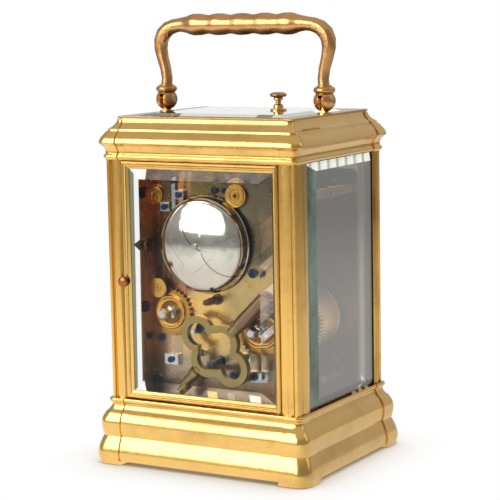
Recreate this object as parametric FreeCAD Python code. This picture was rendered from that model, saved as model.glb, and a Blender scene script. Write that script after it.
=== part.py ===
import FreeCAD, Part
import math
import os

# Carriage clock with a gorge case, millimetres.
# Origin: middle of the footprint, on the table. +Z up.
# The dial faces -Y and the rear door faces +Y.
# Left and right in piece names are as seen from the rear: left is +X, right is -X.

Vec = FreeCAD.Vector
os.makedirs("parts", exist_ok=True)

# ---- driving dimensions ----------------------------------------------------
HALF_X, HALF_Y = 43.72, 37.44      # half width and half depth over the corner pillars
BASE_TOP = 27.2                    # top face of the base moulding
CORNICE_Z = 125.5                  # underside of the cornice moulding
CASE_TOP = 143.0                   # brass top
EAR_PROUD = 0.6                    # how far the corner blocks stand proud of the mouldings
EAR_X, EAR_Y = 9.2, 10.6           # length of a corner block along each side
FOOT_SIDE = 12.5                   # length of a foot along each side
FOOT_H = 1.8
GLASS_T = 3.4                      # pane thickness
RIM_T = 1.6                        # pane thickness at its bevelled rim
PANE_INSET = 0.45                  # pane face behind the pillar face
SLOT_GAP = 0.05
PANE_Z0, PANE_Z1 = BASE_TOP - 0.8, CORNICE_Z + 0.9
SIDE_SLOT = HALF_X - PANE_INSET - GLASS_T      # inner face of a side pane, |x|
FRONT_SLOT = HALF_Y - PANE_INSET - GLASS_T     # inner face of the front pane, |y|
TOP_GLASS_X, TOP_GLASS_Y, TOP_GLASS_Z = 34.0, 27.5, 140.6
BED_X, BED_Y = 38.6, 32.3          # half sizes of the plate under the movement
BED_Z0, BED_Z1 = 25.0, 27.0
CASE_SCREW_R = 1.25
CASE_SCREWS = [(sx * 41.0, sy * 35.1) for sx in (-1, 1) for sy in (-1, 1)]

DOOR_X0, DOOR_X1 = -35.60, 36.75
DOOR_Z0, DOOR_Z1 = 27.45, 125.3
DOOR_Y0, DOOR_Y1 = 34.1, 37.6
DOOR_RAIL = 3.2
HINGE = (-33.9, 35.9)              # x, y
HINGE_R = 1.7
KNOB = (35.1, 76.2)                # x, z

HANDLE_X, HANDLE_Z = 37.3, 148.2   # handle pivots
BALL_R = 4.5

FRONT_Y0, FRONT_Y1 = -23.5, -21.5  # front plate
BACK_Y0, BACK_Y1 = 19.8, 22.0      # back plate
MID_Y = (FRONT_Y1 + BACK_Y0) / 2
PLATE_X, PLATE_Z0, PLATE_Z1 = 38.4, 27.0, 119.0
PLATFORM_TOP = 120.6

# positions on the plates, (x, z)
CENTRE = (0.0, 88.0)               # centre arbor, dial centre
ALARM = (-0.6, 43.6)               # alarm setting arbor
SETTER = (0.6, 68.7)               # hand setting arbor
GOING = (-19.0, 57.3)              # going barrel arbor
STRIKE = (22.0, 62.3)              # strike barrel arbor
CONTRATE = (0.0, 107.0)            # contrate wheel arbor
BELL = (4.5, 91.3)
HAMMER = (26.5, 72.5)
PLATE_PILLARS = [(35.6, 111.0), (-35.6, 111.0), (30.0, 33.0), (-30.0, 33.0)]
BED_SCREWS = [(-30.0, MID_Y), (30.0, MID_Y)]   # x, y; below the lower pillars
DIAL_FEET = [(28.0, 114.0), (-28.0, 114.0), (28.0, 38.0), (-28.0, 38.0)]
GOING_CLICK = (-27.6, 68.0)
STRIKE_CLICK = (8.0, 56.6)
LEFT_DISC = (29.2, 110.5)          # round cocks on the back plate
RIGHT_DISC = (-9.4, 111.4)
STRIP_SCREW = (19.9, 116.6)
# blued blocks on the back plate: x, z, screw field width, height
BLUED_BLOCKS = [
    (16.9, 110.9, 2.6, 2.6), (23.7, 105.8, 2.4, 2.8), (22.3, 42.5, 4.6, 3.2),
    (-12.8, 45.8, 3.0, 2.6), (-17.2, 38.4, 4.6, 3.4),
]
# loose screws on the back plate: x, z, head radius
BACK_SCREWS = [
    (35.6, 63.4, 2.3), (-16.3, 80.4, 1.9), (-6.3, 37.8, 1.7), (-33.0, 92.0, 1.6),
    (0.9, 113.1, 1.5), (-3.8, 113.3, 1.2), (33.5, 51.4, 1.6), (27.8, 51.2, 1.75),
]

# positions on the platform, (x, y)
ESCAPE = (0.0, 1.96)
PALLET = (-6.4, 1.96)
BALANCE = (-14.5, 1.96)
BUTTON = (-14.0, -4.0)             # repeat button, in the top glass
PLATFORM_SCREWS = [(x, y) for y in (FRONT_Y0 + 1.0, BACK_Y0 + 1.1) for x in (-24.5, 5.4)]
LEVER_PIVOT = (-22.5, 123.4)       # repeat lever pivot, (y, z)


# ---- solids ----------------------------------------------------------------
# Rods and prisms take their centre or outline in the plane across their axis:
# (y, z) along X, (x, z) along Y, (x, y) along Z.

def box(x0, x1, y0, y1, z0, z1):
    return Part.makeBox(x1 - x0, y1 - y0, z1 - z0, Vec(x0, y0, z0))


def block(half_x, half_y, z0, z1):
    """Box centred on the Z axis."""
    return box(-half_x, half_x, -half_y, half_y, z0, z1)


def rod_x(centre, x0, x1, radius):
    return Part.makeCylinder(radius, x1 - x0, Vec(x0, *centre), Vec(1, 0, 0))


def rod_y(centre, y0, y1, radius):
    return Part.makeCylinder(radius, y1 - y0, Vec(centre[0], y0, centre[1]), Vec(0, 1, 0))


def rod_z(centre, z0, z1, radius):
    return Part.makeCylinder(radius, z1 - z0, Vec(*centre, z0), Vec(0, 0, 1))


def loop(points):
    """Closed polygon wire."""
    return Part.makePolygon([Vec(*p) for p in points] + [Vec(*points[0])])


def poly(points):
    return Part.Face(loop(points))


def prism_x(outline, x0, x1):
    return poly([(x0, y, z) for y, z in outline]).extrude(Vec(x1 - x0, 0, 0))


def prism_y(outline, y0, y1):
    return poly([(x, y0, z) for x, z in outline]).extrude(Vec(0, y1 - y0, 0))


def prism_z(outline, z0, z1):
    return poly([(x, y, z0) for x, y in outline]).extrude(Vec(0, 0, z1 - z0))


def polar(centre, radius, angle):
    return (centre[0] + radius * math.cos(angle), centre[1] + radius * math.sin(angle))


def shifted(outline, centre):
    return [(centre[0] + u, centre[1] + v) for u, v in outline]


def square(centre, side, turn):
    return [
        polar(centre, side / math.sqrt(2), math.pi / 4 + turn + k * math.pi / 2)
        for k in range(4)
    ]


def fuse(first, *rest):
    return first.multiFuse(list(rest))


def cut_all(shape, tools):
    return shape.cut(Part.makeCompound(tools))


def lathe_y(centre, profile):
    """Solid of revolution along Y about centre (x, z); profile is (radius, y) pairs."""
    x, z = centre
    face = poly([(x + r, y, z) for r, y in profile])
    return face.revolve(Vec(x, 0, z), Vec(0, 1, 0), 360)


def lathe_z(centre, profile):
    x, y = centre
    face = poly([(x + r, y, z) for r, z in profile])
    return face.revolve(Vec(x, y, 0), Vec(0, 0, 1), 360)


def smooth_lathe(origin, axis, out, curve, closing):
    """Revolve a spline through (radius, height) pairs, closed by straight lines."""
    def at(pair):
        return origin + out * pair[0] + axis * pair[1]

    spline = Part.BSplineCurve()
    spline.interpolate([at(pair) for pair in curve])
    edges = [spline.toShape()]
    chain = [curve[-1]] + closing + [curve[0]]
    for start, end in zip(chain, chain[1:]):
        edges.append(Part.makeLine(at(start), at(end)))
    return Part.Face(Part.Wire(edges)).revolve(origin, axis, 360)


def coil(centre, r_in, r_out, turns, steps, thick):
    """Outline of a flat spiral strip with a number of steps to each turn."""
    inner, outer = [], []
    for k in range(steps * turns + 1):
        angle = 2 * math.pi * k / steps
        r = r_in + (r_out - r_in) * k / float(steps * turns)
        inner.append(polar(centre, r, angle))
        outer.append(polar(centre, r + thick, angle))
    return inner + outer[::-1]


def save(name, *shapes):
    solids = [solid for shape in shapes for solid in shape.Solids]
    shape = solids[0] if len(solids) == 1 else Part.makeCompound(solids)
    shape.exportStep("parts/%s.step" % name)


# ---- toothed wheels --------------------------------------------------------
# Angles run from the first axis of the plane towards the second.
# A flank is (radius from the pitch circle in modules, half width in pitches), root to tip.
WHEEL_FLANK = [(-0.95, 0.225), (0, 0.195), (0.50, 0.145), (0.92, 0.06)]
PINION_FLANK = [(-1.30, 0.155), (0, 0.155), (0.30, 0.13), (0.55, 0.06)]
ESCAPE_PINION_FLANK = [(-1.2, 0.15), (0, 0.15), (0.45, 0.07)]
ARMS = 4                           # arms of a crossed-out wheel
ARMS_TURN = 0.4


def gear_outline(centre, teeth, module, phase, flank):
    pitch = 2 * math.pi / teeth
    rows = [(module * (teeth / 2.0 + out), w * pitch) for out, w in flank]
    points = []
    for k in range(teeth):
        angle = phase + k * pitch
        points += [polar(centre, r, angle - w) for r, w in rows]
        points += [polar(centre, r, angle + w) for r, w in reversed(rows)]
    return points


def toothed(centre, teeth, module, phase, flank, y0, y1):
    return prism_y(gear_outline(centre, teeth, module, phase, flank), y0, y1)


def bearing(start, end):
    return math.atan2(end[1] - start[1], end[0] - start[0])


def mesh_phase(centre_a, phase_a, centre_b, mesh):
    """Phase of wheel b so that its teeth enter the gaps of wheel a."""
    teeth_a, teeth_b, module = mesh
    line = bearing(centre_a, centre_b)
    pitch = 2 * math.pi / teeth_a
    lead = (phase_a - line + pitch / 2) % pitch - pitch / 2
    radius_a, radius_b = module * teeth_a / 2.0, module * teeth_b / 2.0
    return line + math.pi - (radius_a * lead + math.pi * module / 2) / radius_b


def crossings(centre, r0, r1, y0, y1, arm_w=1.6):
    """Windows between the arms of a crossed-out wheel."""
    windows = []
    step = 2 * math.pi / ARMS
    for k in range(ARMS):
        start = ARMS_TURN + k * step
        outline = []
        for r in (r0, r1):
            half_arm = arm_w / 2.0 / r
            angles = [start + half_arm + (step - 2 * half_arm) * t / 6.0 for t in range(7)]
            if r == r1:
                angles = angles[::-1]
            outline += [polar(centre, r, angle) for angle in angles]
        windows.append(prism_y(outline, y0 - 1, y1 + 1))
    return windows


def meet(a, ra, b, rb, side):
    """Point at distance ra from a and rb from b, on the left (+1) or right (-1) of a to b."""
    dx, dz = b[0] - a[0], b[1] - a[1]
    d = math.hypot(dx, dz)
    along = (ra * ra - rb * rb + d * d) / (2 * d)
    off = side * math.sqrt(ra * ra - along * along)
    ux, uz = dx / d, dz / d
    return (a[0] + ux * along - uz * off, a[1] + uz * along + ux * off)


def spacing(mesh):
    """Centre distance of a meshing pair."""
    return mesh[2] * (mesh[0] + mesh[1]) / 2


def above(centre, x, distance):
    """Point at a given x and distance, above centre."""
    return (x, centre[1] + math.sqrt(distance ** 2 - (x - centre[0]) ** 2))


# meshing pairs: teeth of the first wheel, teeth of the second, module
GREAT_MESH = (60, 12, 0.5)
INTERMEDIATE_MESH = (68, 20, 0.45)
CENTRE_MESH = (80, 10, 0.35)
THIRD_MESH = (75, 10, 0.32)
STRIKE_2_MESH = (70, 10, 0.40)
STRIKE_3_MESH = (60, 8, 0.35)
CANNON_MESH = (12, 36, 0.5)        # cannon pinion, minute wheel
SETTER_MESH = (36, 12, 0.5)        # minute wheel, setting pinion
HOUR_MESH = (10, 40, 0.48)         # minute pinion, hour wheel
CROWN_MESH = (80, 8, 0.24)         # contrate wheel, escape pinion

INTERMEDIATE = meet(GOING, spacing(GREAT_MESH), CENTRE, spacing(INTERMEDIATE_MESH), 1)
THIRD = meet(CENTRE, spacing(CENTRE_MESH), CONTRATE, spacing(THIRD_MESH), 1)
STRIKE_2 = above(STRIKE, STRIKE[0], spacing(GREAT_MESH))
STRIKE_3 = above(STRIKE_2, 19.0, spacing(STRIKE_2_MESH))
FLY = above(STRIKE_3, 12.0, spacing(STRIKE_3_MESH))
MINUTE = meet(SETTER, spacing(SETTER_MESH), CENTRE, spacing(CANNON_MESH), -1)

# piece: centre, arbor radius, pivot radius
ARBORS = {
    "intermediate_wheel": (INTERMEDIATE, 1.2, 0.6),
    "centre_wheel": (CENTRE, 1.5, 1.0),
    "third_wheel": (THIRD, 1.0, 0.5),
    "contrate_wheel": (CONTRATE, 0.9, 0.45),
    "strike_second_wheel": (STRIKE_2, 1.2, 0.6),
    "strike_third_wheel": (STRIKE_3, 1.0, 0.5),
    "strike_fly": (FLY, 0.75, 0.45),
}
BARREL_PIVOT_R = 2.0
SETTING_R = 1.2                    # hand setting and alarm arbors
MINUTE_STUD_R = 0.9
PIVOT_GAP = 0.05


# ==== case mouldings ========================================================
# Smooth runs of (z, offset outside the pillars, corner radius), bottom to top.
BASE_RUNS = [
    [(1.8, 5.9, 5.3), (3.0, 6.2, 5.4), (4.3, 6.3, 5.5), (6.5, 6.0, 5.4), (9.0, 5.2, 5.1),
     (11.2, 4.25, 4.8)],
    [(11.2, 4.25, 4.8), (11.7, 4.0, 4.7)],
    [(11.7, 4.0, 4.7), (13.2, 4.45, 4.7), (15.0, 4.70, 4.7), (17.3, 4.72, 4.6),
     (19.5, 4.1, 4.4), (21.4, 3.05, 4.0)],
    [(21.4, 3.05, 4.0), (21.9, 2.45, 3.8)],
    [(21.9, 2.45, 3.8), (22.9, 1.6, 3.4), (24.1, 1.05, 3.2), (25.1, 0.95, 3.0)],
    [(25.1, 0.95, 3.0), (25.6, 1.5, 3.1), (26.3, 1.75, 3.2), (27.2, 1.3, 3.0)],
]
CORNICE_RUNS = [
    [(125.5, 0.45, 3.0), (126.1, 1.15, 3.1), (126.9, 1.45, 3.2), (127.6, 1.2, 3.1),
     (128.2, 0.75, 3.0)],
    [(128.2, 0.75, 3.0), (129.4, 0.80, 3.1), (130.7, 1.4, 3.5), (131.8, 2.4, 3.9)],
    [(131.8, 2.4, 3.9), (132.4, 3.1, 4.4)],
    [(132.4, 3.1, 4.4), (133.6, 2.95, 4.4), (135.4, 1.9, 4.0), (137.0, 0.6, 3.4)],
    [(137.0, 0.6, 3.4), (137.2, 0.05, 3.2)],
    [(137.2, 0.05, 3.2), (138.0, -0.15, 3.1)],
    [(138.0, -0.15, 3.1), (139.2, -1.7, 2.8), (140.7, -2.8, 2.5), (142.1, -3.25, 2.3)],
    [(142.1, -3.25, 2.3), (142.3, -2.8, 2.2)],
    [(142.3, -2.8, 2.2), (143.0, -2.75, 2.0)],
]


def rounded_rect(out, radius, z):
    """Rounded rectangle wire outside the pillars; arcs and lines always in the same order."""
    hx, hy = HALF_X + out, HALF_Y + out
    k = radius * (1 - math.sqrt(0.5))
    arcs = []
    for sx, sy in ((1, 1), (-1, 1), (-1, -1), (1, -1)):
        on_x = Vec(sx * hx, sy * (hy - radius), z)
        mid = Vec(sx * (hx - k), sy * (hy - k), z)
        on_y = Vec(sx * (hx - radius), sy * hy, z)
        arcs.append((on_x, mid, on_y) if sx == sy else (on_y, mid, on_x))
    edges = []
    for i, (start, mid, end) in enumerate(arcs):
        edges.append(Part.Arc(start, mid, end).toShape())
        edges.append(Part.makeLine(end, arcs[(i + 1) % 4][0]))
    return Part.Wire(edges)


def moulding(runs, extra):
    """Stack of lofts, one for each run; two-level runs are ruled."""
    solids = []
    for run in runs:
        wires = [rounded_rect(out + extra, r + extra * 0.5, z) for z, out, r in run]
        solids.append(Part.makeLoft(wires, True, len(run) == 2))
    return solids[0].multiFuse(solids[1:]).removeSplitter()


def corner_boxes(length_x, length_y, z0, z1, out):
    """Boxes over the four corners, reaching inwards from a rectangle outside the pillars."""
    boxes = []
    for sx in (-1, 1):
        for sy in (-1, 1):
            x0, x1 = sorted((sx * (HALF_X + out - length_x), sx * (HALF_X + out + 5)))
            y0, y1 = sorted((sy * (HALF_Y + out - length_y), sy * (HALF_Y + out + 5)))
            boxes.append(box(x0, x1, y0, y1, z0, z1))
    return Part.makeCompound(boxes)


def eared(runs, z0, z1):
    """The moulding and its proud corner blocks."""
    inner = moulding(runs, -EAR_PROUD)
    return inner, moulding(runs, 0.0).common(corner_boxes(EAR_X, EAR_Y, z0, z1, 3.1))


def pane_slots():
    """Slots in the mouldings and pillars that take the side and front panes."""
    z0, z1 = PANE_Z0 - SLOT_GAP, PANE_Z1 + SLOT_GAP
    slots = []
    for side in (-1, 1):
        x0, x1 = sorted((side * (SIDE_SLOT - SLOT_GAP), side * (SIDE_SLOT + RIM_T + SLOT_GAP)))
        slots.append(box(x0, x1, -32.7, 28.0, z0, z1))
    y0, y1 = -(FRONT_SLOT + RIM_T + SLOT_GAP), -(FRONT_SLOT - SLOT_GAP)
    slots.append(box(-36.8, 36.8, y0, y1, z0, z1))
    return slots


SLOTS = pane_slots()
CASE_HOLE_R = CASE_SCREW_R + 0.05


def base_moulding():
    inner, ears = eared(BASE_RUNS, 0, BASE_TOP)
    foot_levels = [(5.7, 5.6, 0), (6.0, 6.0, 0.5), (5.9, 5.8, FOOT_H + 0.3)]
    feet = Part.makeLoft([rounded_rect(*level) for level in foot_levels], True, True)
    feet = feet.cut(block(40.5, 34.2, -1, 5))
    feet = feet.common(corner_boxes(FOOT_SIDE, FOOT_SIDE, 0, 5, 6.0))
    base = inner.multiFuse([ears, feet])
    # hollow, opening, and the recess for the base plate
    base = base.cut(fuse(
        block(42, 35.8, 0.5, 22.0),
        block(36.5, 30, 20, 28),
        block(BED_X + 0.1, BED_Y + 0.1, BED_Z0, 28),
    ))
    base = cut_all(base, SLOTS)
    base = cut_all(base, [rod_z(c, 20, 28, CASE_HOLE_R) for c in CASE_SCREWS])
    return base.cut(rod_z(HINGE, 25.4, 28, 0.8))


def cornice_moulding():
    inner, ears = eared(CORNICE_RUNS, CORNICE_Z, 141.9)
    cornice = inner.multiFuse([ears])
    cornice = cornice.cut(fuse(
        block(38.6, 32.3, 125, 137.5),
        block(36.5, 30.2, 137, 139.6),
        block(33.0, 26.5, 139, 144),
        block(TOP_GLASS_X + 0.05, TOP_GLASS_Y + 0.05, TOP_GLASS_Z, 144),
    ))
    cornice = cut_all(cornice, SLOTS)
    cornice = cut_all(cornice, [rod_z(c, 125, 133.1, CASE_HOLE_R) for c in CASE_SCREWS])
    cornice = cornice.cut(rod_z(HINGE, 125, 127.6, 0.8))
    return cut_all(cornice, [rod_z((s * HANDLE_X, 0), 140.2, 145, 1.45) for s in (-1, 1)])


save("base_moulding", base_moulding())
save("cornice_moulding", cornice_moulding())


# ==== corner pillars ========================================================

def pillar(sx, sy, edge_x, edge_y, arm_y):
    """Moulded L section drawn in the +X +Y quadrant, then mirrored to its corner.
    edge_x and edge_y are the inner edges of its two faces; arm_y is the inside of one arm."""
    hx, hy = HALF_X, HALF_Y
    arm_x = 39.0
    nose = 1.5                     # corner radius
    band = 2.5                     # convex bands start this far from the corner
    # band ends lie 0.35 inside the face edges, their crowns stand 0.12 proud
    face_band = [(edge_x + 0.35, hy - 0.45), ((hx - band + edge_x + 0.35) / 2, hy + 0.12),
                 (hx - band, hy - 0.45)]
    side_band = [(hx - 0.45, hy - band), (hx + 0.12, (hy - band + edge_y + 0.35) / 2),
                 (hx - 0.45, edge_y + 0.35)]
    k = nose * math.sqrt(0.5)
    nose_arc = [(hx - nose, hy + 0.15), (hx + 0.15 - nose + k, hy + 0.15 - nose + k),
                (hx + 0.15, hy - nose)]
    # runs of two points are lines, of three points arcs
    pieces = [
        [(edge_x, hy - 0.75), face_band[0]],
        face_band,
        [face_band[2], (hx - 2.3, hy - 0.8)],
        [(hx - 2.3, hy - 0.8), (hx - 1.85, hy - 0.8)],
        [(hx - 1.85, hy - 0.8), nose_arc[0]],
        nose_arc,
        [nose_arc[2], (hx - 0.8, hy - 1.85)],
        [(hx - 0.8, hy - 1.85), (hx - 0.8, hy - 2.3)],
        [(hx - 0.8, hy - 2.3), side_band[0]],
        side_band,
        [side_band[2], (hx - 0.75, edge_y)],
        [(hx - 0.75, edge_y), (arm_x, edge_y)],
        [(arm_x, edge_y), (arm_x, arm_y)],
        [(arm_x, arm_y), (edge_x, arm_y)],
        [(edge_x, arm_y), (edge_x, hy - 0.75)],
    ]
    edges = []
    for piece in pieces:
        points = [Vec(x, y, 0) for x, y in piece]
        edges.append(Part.Arc(*points).toShape() if len(points) == 3
                     else Part.makeLine(*points))
    solid = Part.Face(Part.Wire(edges)).extrude(Vec(0, 0, CORNICE_Z - BASE_TOP))
    if sx < 0:
        solid = solid.mirror(Vec(0, 0, 0), Vec(1, 0, 0))
    if sy < 0:
        solid = solid.mirror(Vec(0, 0, 0), Vec(0, 1, 0))
    solid.translate(Vec(0, 0, BASE_TOP))
    solid = cut_all(solid, SLOTS)
    screw = (sx * 41.0, sy * 35.1)
    return solid.cut(fuse(rod_z(screw, 20, 36, CASE_HOLE_R), rod_z(screw, 117, 130, CASE_HOLE_R)))


save("pillar_rear_left", pillar(1, 1, 36.85, 26.8, 33.5))
save("pillar_rear_right", pillar(-1, 1, 35.70, 26.8, 33.5))
save("pillar_front_left", pillar(1, -1, 35.70, 31.5, 32.85))
save("pillar_front_right", pillar(-1, -1, 35.70, 31.5, 32.85))


# ==== panes =================================================================

def pane(rim, opening, flat, full_t=GLASS_T, rim_t=RIM_T):
    """Pane with a wide bevel, in local u, v, w with its inner face at w = 0.
    rim, opening and flat are (u0, u1, v0, v1)."""
    def rect(sides, w):
        u0, u1, v0, v1 = sides
        return loop([(u0, v0, w), (u1, v0, w), (u1, v1, w), (u0, v1, w)])

    slab = box(*rim, 0, rim_t)
    return slab.fuse(Part.makeLoft([rect(opening, rim_t), rect(flat, full_t)], True, True))


def place(shape, u, v, w, origin):
    """Move a shape so that its local axes lie along u, v and w."""
    rows = [(u[i], v[i], w[i], origin[i]) for i in range(3)]
    return shape.transformed(FreeCAD.Matrix(*rows[0], *rows[1], *rows[2], 0, 0, 0, 1))


def side_pane():
    return pane((-32.55, 27.85, PANE_Z0, PANE_Z1), (-31.5, 26.8, 27.3, 125.4),
                (-29.0, 19.4, 29.6, 121.9))


save("left_glass", place(side_pane(), (0, 1, 0), (0, 0, 1), (1, 0, 0), (SIDE_SLOT, 0, 0)))
save("right_glass", place(side_pane(), (0, 1, 0), (0, 0, 1), (-1, 0, 0), (-SIDE_SLOT, 0, 0)))
front_pane = pane((-36.7, 36.7, PANE_Z0, PANE_Z1), (-35.7, 35.7, 27.3, 125.4),
                  (-30.2, 30.2, 31.4, 121.2))
save("front_glass", place(front_pane, (1, 0, 0), (0, 0, 1), (0, -1, 0), (0, -FRONT_SLOT, 0)))
top_rim = (-TOP_GLASS_X, TOP_GLASS_X, -TOP_GLASS_Y, TOP_GLASS_Y)
top_pane = pane(top_rim, top_rim, (-29.0, 29.0, -22.6, 22.6), 3.2, 1.5)
top_pane = place(top_pane, (1, 0, 0), (0, 1, 0), (0, 0, 1), (0, 0, TOP_GLASS_Z))
save("top_glass", top_pane.cut(rod_z(BUTTON, 138, 146, 2.25)))

# base plate that carries the movement
bed = block(BED_X, BED_Y, BED_Z0, BED_Z1)
for centre in BED_SCREWS:
    bed = bed.cut(rod_z(centre, 24, 28, 1.6))
save("base_plate", bed)


# ==== rear door =============================================================

def door_sides(inset):
    return (DOOR_X0 + inset, DOOR_X1 - inset, DOOR_Z0 + inset, DOOR_Z1 - inset)


def door_stack(levels):
    """Ruled lofts between door outlines; levels are (inset, y)."""
    def outline(inset, y):
        x0, x1, z0, z1 = door_sides(inset)
        return loop([(x0, y, z0), (x1, y, z0), (x1, y, z1), (x0, y, z1)])

    lofts = [
        Part.makeLoft([outline(*low), outline(*high)], True, True)
        for low, high in zip(levels, levels[1:])
    ]
    return lofts[0].multiFuse(lofts[1:]) if len(lofts) > 1 else lofts[0]


def door_frame():
    outer = door_stack([(0, DOOR_Y0), (0, 36.85), (0.22, 37.3), (0.75, DOOR_Y1)])
    inner = door_stack([(2.6, DOOR_Y0 - 1), (2.6, 35.7)])
    inner = inner.fuse(door_stack([
        (DOOR_RAIL, 35.6), (DOOR_RAIL, 36.05), (2.15, 36.75), (2.0, 37.05), (1.55, 37.2),
        (1.15, DOOR_Y1), (1.15, DOOR_Y1 + 1),
    ]))
    frame = outer.cut(inner)
    # round the hinge edge about the hinge line
    edge = box(DOOR_X0 - 1, HINGE[0], HINGE[1], 39, 20, 130)
    frame = frame.cut(edge.cut(rod_z(HINGE, 19, 131, HINGE_R)))
    frame = frame.cut(fuse(rod_z(HINGE, 20, 29.9, 0.85), rod_z(HINGE, 122.8, 130, 0.85)))
    return frame.cut(rod_y(KNOB, 33, 39, 0.75))


save("door_frame", door_frame())
door_pane = pane(door_sides(2.65), door_sides(DOOR_RAIL + 0.05), (-27.0, 28.4, 35.2, 118.0),
                 2.75, 1.4)
save("door_glass", place(door_pane, (1, 0, 0), (0, 0, 1), (0, 1, 0), (0, 34.25, 0)))
save("door_knob", smooth_lathe(
    Vec(KNOB[0], 0, KNOB[1]), Vec(0, 1, 0), Vec(1, 0, 0),
    [(1.0, 38.1), (1.05, 38.7), (1.9, 39.2), (2.3, 39.9), (2.1, 40.6), (1.3, 41.1), (0.0, 41.3)],
    [(0.0, 34.3), (0.75, 34.3), (0.75, 37.62), (1.9, 37.62), (1.9, 37.95)],
))
# pins of the door hinge and of the handle
pins = [rod_z(HINGE, 25.5, 29.8, 0.8), rod_z(HINGE, 122.9, 127.5, 0.8)]
for side in (-1, 1):
    x = side * HANDLE_X
    pins.append(rod_x((0, HANDLE_Z), x - 4.2, x + 4.2, 1.1))
save("pivot_pins", *pins)

# ==== carrying handle =======================================================
# Centre line of the +X half, from the collar over the corner to the grip:
# (x, z, thickness in the plane of the handle, thickness across it)
HANDLE_HALF = [
    (37.25, 153.4, 4.3, 4.6), (36.85, 157.0, 4.2, 4.4), (37.45, 161.0, 4.3, 4.4),
    (38.7, 165.2, 4.6, 4.6), (39.55, 169.3, 5.2, 4.9), (39.45, 172.4, 5.7, 5.2),
    (38.2, 175.3, 5.9, 5.4), (35.7, 177.5, 5.7, 5.5), (32.6, 178.6, 5.5, 5.6),
    (29.6, 179.0, 5.5, 5.8),
]
GRIP_END, GRIP_Z = 29.6, 179.05
GRIP_STEPS = 32
WAVE_PITCH = 10.7


def handle_stations():
    """(x, z, half thickness in the plane, half thickness across) from +X to -X."""
    stations = [(x, z, t / 2, w / 2) for x, z, t, w in HANDLE_HALF]
    for k in range(1, GRIP_STEPS):
        x = GRIP_END - 2 * GRIP_END * k / GRIP_STEPS
        swell = min(1.0, (GRIP_END - abs(x)) / 6.0)
        wave = math.cos(2 * math.pi * x / WAVE_PITCH)
        r = 2.75 + swell * (1.35 + 0.36 * wave)
        stations.append((x, GRIP_Z, r, r * 0.98))
    return stations + [(-x, z, t / 2, w / 2) for x, z, t, w in reversed(HANDLE_HALF)]


def handle_bar():
    """Octagonal sections square to the centre line, joined by a ruled loft."""
    stations = handle_stations()
    last = len(stations) - 1
    flat = math.cos(math.pi / 8)
    wires = []
    for i, (x, z, t, w) in enumerate(stations):
        before, after = stations[max(i - 1, 0)], stations[min(i + 1, last)]
        tx, tz = after[0] - before[0], after[1] - before[1]
        if i in (0, last):
            tx, tz = 0.0, (1.0 if i == 0 else -1.0)
        length = math.hypot(tx, tz)
        nx, nz = -tz / length, tx / length
        ring = []
        for k in range(8):
            angle = math.pi / 8 + k * math.pi / 4
            c, s = math.cos(angle) / flat, math.sin(angle) / flat
            ring.append((x + nx * t * c, w * s, z + nz * t * c))
        wires.append(loop(ring))
    return Part.makeLoft(wires, True, True)


def handle_end(x):
    """Slotted ball with its neck and collar."""
    ball = Part.makeSphere(BALL_R, Vec(x, 0, HANDLE_Z))
    neck = rod_z((x, 0), HANDLE_Z + 3.0, HANDLE_Z + 5.4, 2.9)
    collar = smooth_lathe(
        Vec(x, 0, HANDLE_Z), Vec(0, 0, 1), Vec(1, 0, 0),
        [(2.9, 3.15), (3.9, 3.25), (4.35, 3.9), (4.35, 4.7), (3.9, 5.35), (2.9, 5.45)],
        [(0.0, 5.45), (0.0, 3.15)],
    )
    end = fuse(ball, neck, collar, rod_z((x, 0), HANDLE_Z + 5.0, HANDLE_Z + 6.1, 3.0))
    slot = box(x - 0.95, x + 0.95, -6, 6, HANDLE_Z - 6, HANDLE_Z + 2.4)
    return end.cut(fuse(slot, rod_x((0, HANDLE_Z), x - 6, x + 6, 1.15)))


def handle_post(x):
    """Tongue in the slot of the ball, with a foot and a stem into the cornice."""
    tongue = fuse(
        rod_x((0, HANDLE_Z), x - 0.9, x + 0.9, 2.25),
        box(x - 0.9, x + 0.9, -1.7, 1.7, 143.2, HANDLE_Z),
        rod_z((x, 0), CASE_TOP, 143.5, 2.9),
        rod_z((x, 0), 140.25, CASE_TOP + 0.1, 1.4),
    )
    return tongue.cut(rod_x((0, HANDLE_Z), x - 2, x + 2, 1.1))


save("carry_handle", handle_bar().multiFuse([handle_end(s * HANDLE_X) for s in (-1, 1)]))
save("handle_posts", *[handle_post(s * HANDLE_X) for s in (-1, 1)])

# ==== repeat button =========================================================
save("repeat_bush", lathe_z(BUTTON, [
    (1.15, 139.6), (2.2, 139.6), (2.2, 143.82), (3.4, 143.82), (3.4, 144.3), (2.1, 144.7),
    (2.0, 146.0), (1.6, 146.35), (1.15, 146.35),
]))
save("repeat_button", smooth_lathe(
    Vec(*BUTTON, 0), Vec(0, 0, 1), Vec(1, 0, 0),
    [(1.9, 149.55), (3.3, 149.75), (3.5, 150.2), (2.9, 150.85), (1.6, 151.2), (0.0, 151.3)],
    [(0.0, 133.2), (0.6, 133.2), (0.6, 135.0), (1.1, 135.0), (1.1, 147.9), (1.9, 148.1),
     (1.9, 149.0), (1.7, 149.2)],
))


def repeat_lever():
    """Bent lever with one arm under the button and one hanging before the front plate."""
    x = BUTTON[0]
    y, z = LEVER_PIVOT
    tip_y = BUTTON[1] + 1.6
    outline = [
        (y - 1.3, z + 1.0), (y - 0.4, 133.0), (tip_y, 133.0), (tip_y, 131.8),
        (y + 1.0, 131.8), (y + 1.4, z), (y + 0.4, z - 1.3), (-24.4, z - 1.0),
        (-24.4, 112.0), (-25.6, 112.0), (-25.6, z - 0.6),
    ]
    lever = prism_x(outline, x - 1.3, x + 1.3).fuse(rod_x(LEVER_PIVOT, x - 1.3, x + 1.3, 1.7))
    return lever.cut(rod_x(LEVER_PIVOT, x - 3, x + 3, 0.75))


save("repeat_lever", repeat_lever())

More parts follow.
